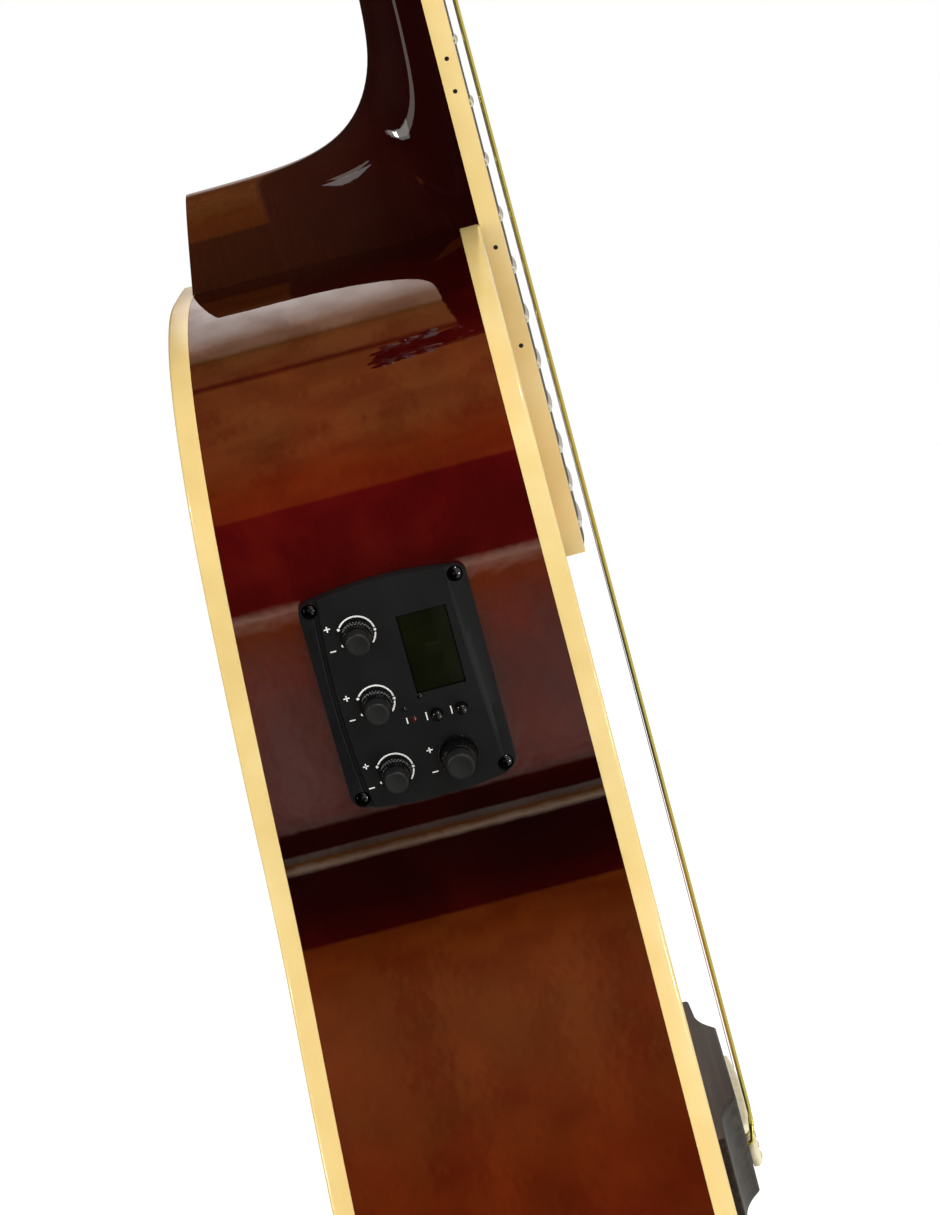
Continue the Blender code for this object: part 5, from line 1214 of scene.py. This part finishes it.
SCREWS = [(-20.7, 29.2, 20), (20.7, 29.2, 52), (-20.7, -29.2, -12), (20.7, -29.2, 38)]
KNOBS = {"bass": (-9.7, 19.8, 4.5, 8.9), "middle": (-9.7, -1.5, 4.5, 8.9), "treble": (-9.7, -22.8, 4.5, 8.9),
         "volume": (8.7, -22.8, 5.3, 9.2)}
BUTTONS = {"phase": (5.8, -9.2), "tuner_switch": (12.9, -9.2)}


def at_panel(x, y, z=0.0, angle=0.0):
    return PANEL @ moved(x, y, z) @ turned(angle, "Z")


def fascia_holes(bm):
    holes = [(x, y, 2.3, 1.5, 8, 32) for x, y, _ in SCREWS]
    holes += [(x, y, 3.2, -5, 9, 32) for x, y, _, _ in KNOBS.values()]
    holes += [(x, y, 1.75, -5, 9, 24) for x, y in BUTTONS.values()]
    for x, y, radius, low, high, sides in holes:
        rod(bm, radius, low, high, sides, moved(x, y, 0))
    block(bm, (1.9, -2.1, 2.2), (16.1, 21.8, 10))


FASCIA = piece("moulded_fascia", build_fascia, TEXTURED, replaces="preamp_panel", sharp=25)
carve(FASCIA, [fascia_rim], 25, "INTERSECT")
carve(FASCIA, [fascia_holes], 25)
FASCIA.data.transform(PANEL)
edge_round = FASCIA.modifiers.new("moulded_edges", "BEVEL")
edge_round.width = 0.22 * MM
edge_round.segments = 2
edge_round.limit_method = "ANGLE"
edge_round.angle_limit = math.radians(40)


def build_window(bm):
    block(bm, (2.1, -1.9, 2.3), (15.9, 21.6, 3.5))
    rounded(bm, crisp(bm, 60), 0.2 * MM)


piece("display_glass", build_window, ACRYLIC, replaces="lcd_window", matrix=PANEL)


KNOB_BASE = 4.3


def build_skirt(radius, height):
    """A polished skirt with 30 ridges round it, and the shaft below."""
    def build(bm):
        rows = []
        # height share, radius share, depth of the ridges
        for level, share, ridge in ((0.0, 0.97, 0.03), (0.04, 1.0, 0.05), (0.44, 0.97, 0.05),
                                    (0.5, 0.95, 0.04), (0.55, 0.89, 0.0), (0.56, 0.5, 0.0)):
            row = []
            for i in range(90):
                angle = 2 * math.pi * i / 90
                reach = radius * (share - (ridge if i % 3 == 0 else 0)) * MM
                lift = (KNOB_BASE + height * level) * MM
                row.append((reach * math.cos(angle), reach * math.sin(angle), lift))
            rows.append(row)
        skin(bm, rows)
        rod(bm, 2.9, -8, KNOB_BASE + 1, 28)
    return build


def cap_profile(radius, height):
    """The soft cap standing on the skirt: upright wall, rounded rim, top hollowed a little."""
    base, top, reach = KNOB_BASE + height * 0.52, KNOB_BASE + height, radius * 0.75
    return [(0, top - 0.25), (reach * 0.5, top - 0.2), (reach * 0.72, top - 0.06), (reach * 0.84, top),
            (reach * 0.93, top - 0.12), (reach * 0.985, top - 0.4), (reach, top - 0.85),
            (reach * 1.01, top - height * 0.25), (reach * 1.02, base), (0, base)]


for name, (x, y, radius, height) in KNOBS.items():
    spot = at_panel(x, y)
    piece(f"knob_{name}_skirt", build_skirt(radius, height), POLISHED, body=name, replaces=f"knob_{name}",
          matrix=spot, sharp=30)
    piece(f"knob_{name}_cap", lathed(cap_profile(radius, height), 48), RUBBER, body=name, matrix=spot,
          sharp=50)

BUTTON = lathed(dome(1.5, 6.1, 0.8, 7, 0.2) + [(1.5, 0), (0, 0)], 24)
for name, node in (("phase", "button_phase"), ("tuner_switch", "button_tuner")):
    piece(f"domed_{node}", BUTTON, POLISHED, body=name, replaces=node, matrix=at_panel(*BUTTONS[name]))


def arc_ribbon(bm, centre, radius, wide, start, end, base, tall):
    """A flat raised band on the fascia, bent round a centre from one angle to another in degrees."""
    turn = moved(*centre, 0) @ turned(start, "Z")
    near, far = radius - wide / 2, radius + wide / 2
    corners = [(near, base), (far, base), (far, base + tall), (near, base + tall)]
    edges = thread(bm, [turn @ Vector((reach * MM, 0, height * MM)) for reach, height in corners])
    bmesh.ops.spin(bm, geom=bmesh.ops.contextual_create(bm, geom=edges)["faces"], cent=turn.translation,
                   axis=(0, 0, 1), angle=math.radians(end - start), steps=round(abs(end - start) / 6),
                   use_merge=False, use_duplicate=False)


def build_scales(bm):
    """Printed scales: an arc open to the left, with a dot at each end and one at the middle."""
    top, tall, reach = 3.99, 0.06, 5.2
    for name in ("bass", "middle", "treble"):
        centre = KNOBS[name][:2]
        for start, end in ((8, 144), (-44, -8)):
            arc_ribbon(bm, centre, reach, 0.45, start, end, top, tall)
        for angle in (0, 152, -152):
            rod(bm, 0.4, top, top + tall, 14, moved(*centre, 0) @ turned(angle, "Z") @ moved(reach, 0, 0))
    # plain plus and minus at each knob, and a tick at each button and at the lamp
    marks = [(x - 2.9, y, 0.34, 2.4) for x, y in BUTTONS.values()] + [(-2.7, -9.1, 0.34, 1.8)]
    for x, y, _, _ in KNOBS.values():
        marks += [(x - 7.6, y + 3.4, 1.7, 0.34), (x - 7.6, y + 3.4, 0.34, 1.7), (x - 7.6, y - 3.4, 1.7, 0.34)]
    for x, y, wide, high in marks:
        block(bm, (x - wide / 2, y - high / 2, top), (x + wide / 2, y + high / 2, top + tall))


piece("printed_scales", build_scales, INK, matrix=PANEL)


RING = lathed([(5.45, 3.9), (5.45, 4.35), (5.55, 4.5), (5.9, 4.5), (6.0, 4.35), (6.0, 3.9),
               (5.45, 3.9)], 64)
piece("volume_ring", RING, POLISHED, matrix=at_panel(*KNOBS["volume"][:2]))

SCREW_HEAD = lathed(dome(2.05, 0.35, 1.0, 7, 0.25) + [(2.05, 0), (1.1, 0), (1.1, -0.9), (0, -0.9)], 28)


def cross_slot(degrees):
    """One arm of the driver's cross, tapering to its floor."""
    def build(bm):
        made = block(bm, (-1.15, -0.27, 0.35), (1.15, 0.27, 2))
        for vert in made["verts"]:
            if vert.co.z < 1 * MM:
                vert.co.x *= 0.45
                vert.co.y *= 0.7
        place(bm, turned(degrees, "Z"))
    return build


for number, (x, y, angle) in enumerate(SCREWS):
    piece(f"fascia_screw_{number + 1}", SCREW_HEAD, OXIDE, sharp=30, matrix=at_panel(x, y, 1.6, angle),
          cuts=[cross_slot(0), cross_slot(90)])

LAMP = lathed(dome(0.8, 3.95, 0.4, 6, 0.3) + [(0.8, 3.6), (0, 3.6)], 20)
for name, x, y, plastic in (("battery_lamp", -0.7, -9.1, LENS), ("dark_lamp_1", -2.7, -5.6, POLISHED),
                            ("dark_lamp_2", 2.4, -2.8, POLISHED)):
    piece(name, LAMP, plastic, matrix=at_panel(x, y))


# Tuners

# lengths in mm: the headstock's back face, the gearbox's height, and the place of the key's shaft
SEAT = -(HEAD_THICKNESS + GAP) / MM
BOX_HEIGHT = 11.5
SHAFT = moved(0, -6, SEAT - BOX_HEIGHT / 2)


def build_gearbox(bm):
    block(bm, (-8.5, -12.5, SEAT - BOX_HEIGHT), (8.5, 8, SEAT))
    rounded(bm, crisp(bm, 60), 2.2 * MM, 4)
    rod(bm, 3.4, 5, 12, 28, SHAFT @ turned(90, "Y"))


BOX_SCREW = lathed(dome(2.2, -0.1, 0.7, 6, 0.25) + [(2.2, -1), (0, -1)], 24)
BUSH = lathed([(3.4, 4.4), (5.2, 4.4), (5.7, 4.0), (5.7, 3.0), (6.4, 2.8), (6.4, 2.1), (4.7, 2.1),
               (4.7, -14.8), (3.4, -14.8), (3.4, 4.4)], 36)
POST = lathed([(0, 16), (1.9, 16), (2.6, 15.8), (3.1, 15.1), (3.1, 12.7), (2.9, 12.2), (POST_WAIST, 11.8),
               (POST_WAIST, 5.3), (3.1, 4.8), (3.1, -19), (0, -19)])


def string_eye(bm):
    rod(bm, 1, -8, 8, 20, moved(0, 0, 11) @ turned(90, "X"))


def build_key(bm):
    """The key's kidney-shaped grip on its collar and shaft."""
    rows = []
    for share in along(-1, 1, 13):
        size = max(0.02, (1 - abs(share) ** 2.6)) ** (1 / 2.6)
        waist = 1 - 0.1 * (1 - share ** 2)
        wide, high = 8.5 * MM * size, 10.2 * MM * size * waist
        rows.append([(wide * bent(math.cos(a), 0.8), high * bent(math.sin(a), 0.8), 3.6 * MM * share)
                     for a in along(0, 2 * math.pi, 41)[:-1]])
    skin(bm, rows)
    place(bm, moved(27.5, 0, 0))
    for radius, low, high, sides in ((2, 5, 24, 20), (3.3, 12.3, 15.3, 28), (2.7, 15.3, 20.5, 24)):
        rod(bm, radius, low, high, sides, turned(90, "Y"))


for index in range(6):
    number = index + 1
    turn = tuner_matrix(index)
    piece(f"gearbox_{number}", build_gearbox, CHROME, replaces=f"tuner_housing_{number}", matrix=turn)
    piece(f"gearbox_screw_{number}", BOX_SCREW, CHROME,
          matrix=turn @ moved(0, -6, SEAT - BOX_HEIGHT) @ turned(180, "X"))
    piece(f"post_bush_{number}", BUSH, CHROME, matrix=turn)
    piece(f"string_post_{number}", POST, CHROME, body=f"post_{number}", replaces=f"tuner_post_{number}",
          matrix=turn, cuts=[string_eye])
    piece(f"key_grip_{number}", build_key, CHROME, body=f"key_{number}", replaces=f"tuner_button_{number}",
          matrix=turn @ SHAFT, sharp=40)


# End jack

SOCKET = lathed([(0, 39.7), (5.7, 39.7), (5.7, 0), (9.0, 0), (9.0, -1.1), (8.5, -1.5), (6.4, -2.2), (5.7, -4),
                 (5.7, -6), (6.3, -7.8), (7.0, -8.7), (7.0, -10.2), (6.4, -11), (3.9, -11), (3.3, -10.5),
                 (3.3, 17), (0, 17)], 48)
TAIL = down(BODY_LENGTH)
piece("plug_socket", SOCKET, CHROME, replaces="end_jack",
      matrix=Matrix.Translation((0, back_depth(0, TAIL) / 2, TAIL - GAP)))


# Finishes of the CAD nodes that stay

for names, material in ((("neck_block", "tail_block", "top_bracing", "back_bracing"), BARE),
                        (("truss_rod", "saddle_pickup"), STEEL), (("preamp_case",), TEXTURED)):
    for name in names:
        NODES[name].data.materials.clear()
        NODES[name].data.materials.append(material)


# Floor, light and camera

def build_floor(bm):
    bmesh.ops.create_grid(bm, x_segments=1, y_segments=1, size=0.5,
                          matrix=Matrix.Translation((1.14, 0, -0.87)) @ Matrix.Diagonal((3.72, 6, 1, 1)))


floor = new_mesh("floor", build_floor, solid=False)
floor.data.materials.append(WHITE)
floor.visible_glossy = False


def softbox(name, spot, target, width, height, power, seen=True, colour="#ffffff", lights=True):
    """A lamp facing its target; gloss sees it if seen, and it brightens matte surfaces if lights."""
    light = bpy.data.lights.new(name, "AREA")
    light.shape = "RECTANGLE"
    light.size = width
    light.size_y = height
    light.energy = power
    light.color = linear(colour)[:3]
    thing = bpy.data.objects.new(name, light)
    thing.location = spot
    thing.rotation_euler = (Vector(target) - Vector(spot)).to_track_quat("-Z", "Y").to_euler()
    thing.visible_glossy = seen
    thing.visible_diffuse = lights
    bpy.context.scene.collection.objects.link(thing)


softbox("key_fill", (-1.6, -0.9, 0.5), (0, 0, -0.5), 1.2, 1.2, 16, seen=False)
softbox("back_fill", (-1.5, 0.9, -0.2), (0, 0, -0.5), 1.0, 1.0, 6, seen=False)
softbox("overhead", (-0.3, 0.1, 1.1), (0, 0, -0.5), 0.8, 0.8, 3, seen=False)
# bright lamps beside the middle line, seen by gloss alone: glints on knobs, screws and frets
softbox("glint_top_side", (-1.0, -0.8, 0.9), (-0.15, 0, -0.5), 0.3, 0.26, 14, lights=False)
# a pale window and its bright bulb, low at the back's side, for the gleam where the heel begins
softbox("heel_window", (-0.87, 1.2, 0.2), (-0.02, 0.02, -0.335), 0.3, 0.6, 1.5, lights=False)
softbox("heel_bulb", (-0.82, 1.14, 0.2), (-0.02, 0.02, -0.335), 0.16, 0.12, 6, lights=False)
# one more glint, from below the camera
softbox("glint_low", (-1.0, -0.9, -1.3), (-0.15, 0, -0.5), 0.22, 0.16, 6, lights=False)
# a tall narrow window of light to the back's side of the camera
softbox("tall_strip", (-1.15, 1.65, -0.1), (0, 0.03, -0.3), 0.26, 2.2, 4.0, colour="#fff3e6")


def studio_room():
    """The world: white to the camera, soft white light, and for mirrors the room the lacquer shows.

    Level with the camera that is a pale floor, a dark gap over its edge, brown wood higher up and a
    white ceiling; the room is dark to the back's side and white to the soundboard's side.
    """
    world = bpy.data.worlds.new("studio_room")
    bpy.context.scene.world = world
    world.use_nodes = True
    room = world.node_tree
    room.nodes.clear()

    direction = add(room, "TexCoord", out="Generated")
    parts = add(room, "SeparateXYZ", {0: direction}, out="X").node.outputs
    behind = add(room, "Math", {0: parts["X"], 1: -1.0}, operation="MULTIPLY")
    rise = add(room, "Math", {0: parts["Z"], 1: behind}, operation="ARCTAN2")
    share = add(room, "MapRange", {"Value": rise, "From Min": -math.pi, "From Max": math.pi})
    # what a mirror shows at each angle of elevation in degrees, ahead of it and then over its head
    ahead = add(room, "ValToRGB", {"Fac": share}, stops=[((angle + 180) / 360, colour) for angle, colour in (
        (-180, "#4a4846"), (-42, "#15110f"), (-36.2, "#15110f"), (-35.9, "#8e8a83"),
        (-33.6, "#7f786c"), (-33.1, "#936229"), (-31.1, "#8a5520"), (-30.9, "#ffe2c6"),
        (-30.1, "#ffe2c6"), (-29.8, "#191313"), (15.5, "#130b0b"), (17.5, "#aa5919"), (34, "#b05c19"),
        (45, "#b96c2a"), (57, "#c47d3b"), (70, "#ce813f"), (88, "#ce7c3d"),
        (104, "#b36b33"), (110.5, "#ad6933"), (111.5, "#522713"), (113.5, "#522713"),
        (114.5, "#a36436"), (127.5, "#965f30"), (129.2, "#80562a"), (130.3, "#80562a"),
        (131.2, "#a68164"), (137.5, "#aa836c"), (139, "#b39684"), (146, "#c0ada5"),
        (157, "#c4b9b6"), (161, "#bdb0ad"), (180, "#716c66"))])
    # uneven wood: patches that cover about 8 mm of the lacquer
    patches = add(room, "Mapping", {"Vector": direction, "Scale": (4.0, 70.0, 4.0)})
    mottle = add(room, "TexNoise", {"Vector": patches, "Scale": 1.0, "Detail": 3.0})
    mottle = add(room, "ValToRGB", {"Fac": mottle}, stops=[(0.3, "#c8bdb4"), (0.65, "#ffffff")])
    ahead = add(room, "Mix", {0: 1.0, 6: ahead, 7: mottle}, **MULTIPLY)
    aside = add(room, "MapRange", {"Value": parts["Y"], "From Min": -1.0, "From Max": 1.0})
    sides = add(room, "ValToRGB", {"Fac": aside}, stops=[
        (0.0, "#8a8986"), (0.35, "#8e8d8a"), (0.43, "#716f6c"), (0.57, "#120e0c"), (0.9, "#0d0b0a"),
        (1.0, "#2a2725")])
    to_sides = add(room, "MapRange", {"Value": add(room, "Math", {0: parts["Y"]}, operation="ABSOLUTE"),
                                      "From Min": 0.085, "From Max": 0.13})
    mirrored = add(room, "Mix", {0: to_sides, 6: ahead, 7: sides}, out=2, data_type="RGBA")
    mirrored = add(room, "Background", {"Color": mirrored, "Strength": 3.0})
    soft = add(room, "Background", {"Color": "#ffffff", "Strength": 0.8})
    backdrop = add(room, "Background", {"Color": "#ffffff", "Strength": 1.0})
    rays = add(room, "LightPath", out="Is Camera Ray").node.outputs
    lit = add(room, "MixShader", {0: rays["Is Glossy Ray"], 1: soft, 2: mirrored})
    lit = add(room, "MixShader", {0: rays["Is Camera Ray"], 1: lit, 2: backdrop})
    add(room, "OutputWorld", {"Surface": lit})


studio_room()
bpy.context.scene.view_settings.view_transform = "Standard"

# the photo's height and the focal length, both in pixels
PHOTO_HEIGHT = 1215
FOCAL_LENGTH = 4000
camera = bpy.data.cameras.new("photo_camera")
camera.sensor_fit = "VERTICAL"
camera.sensor_height = 36.0
camera.lens = FOCAL_LENGTH / PHOTO_HEIGHT * camera.sensor_height
camera.clip_start = 0.05
eye = bpy.data.objects.new("photo_camera", camera)
pitch, yaw, roll = 0.1629, -0.0243, 0.2544
forward, right, low = Vector((1, 0, 0)), Vector((0, -1, 0)), Vector((0, 0, -1))
ahead = forward * math.cos(pitch) + low * math.sin(pitch)
low = low * math.cos(pitch) - forward * math.sin(pitch)
ahead, right = ahead * math.cos(yaw) + right * math.sin(yaw), right * math.cos(yaw) - ahead * math.sin(yaw)
right, low = right * math.cos(roll) + low * math.sin(roll), low * math.cos(roll) - right * math.sin(roll)
turn = Matrix((right, -low, -ahead)).transposed().to_4x4()
eye.matrix_world = Matrix.Translation((-1.2345, 0.0024, -0.27465)) @ turn
bpy.context.scene.collection.objects.link(eye)
bpy.context.scene.camera = eye
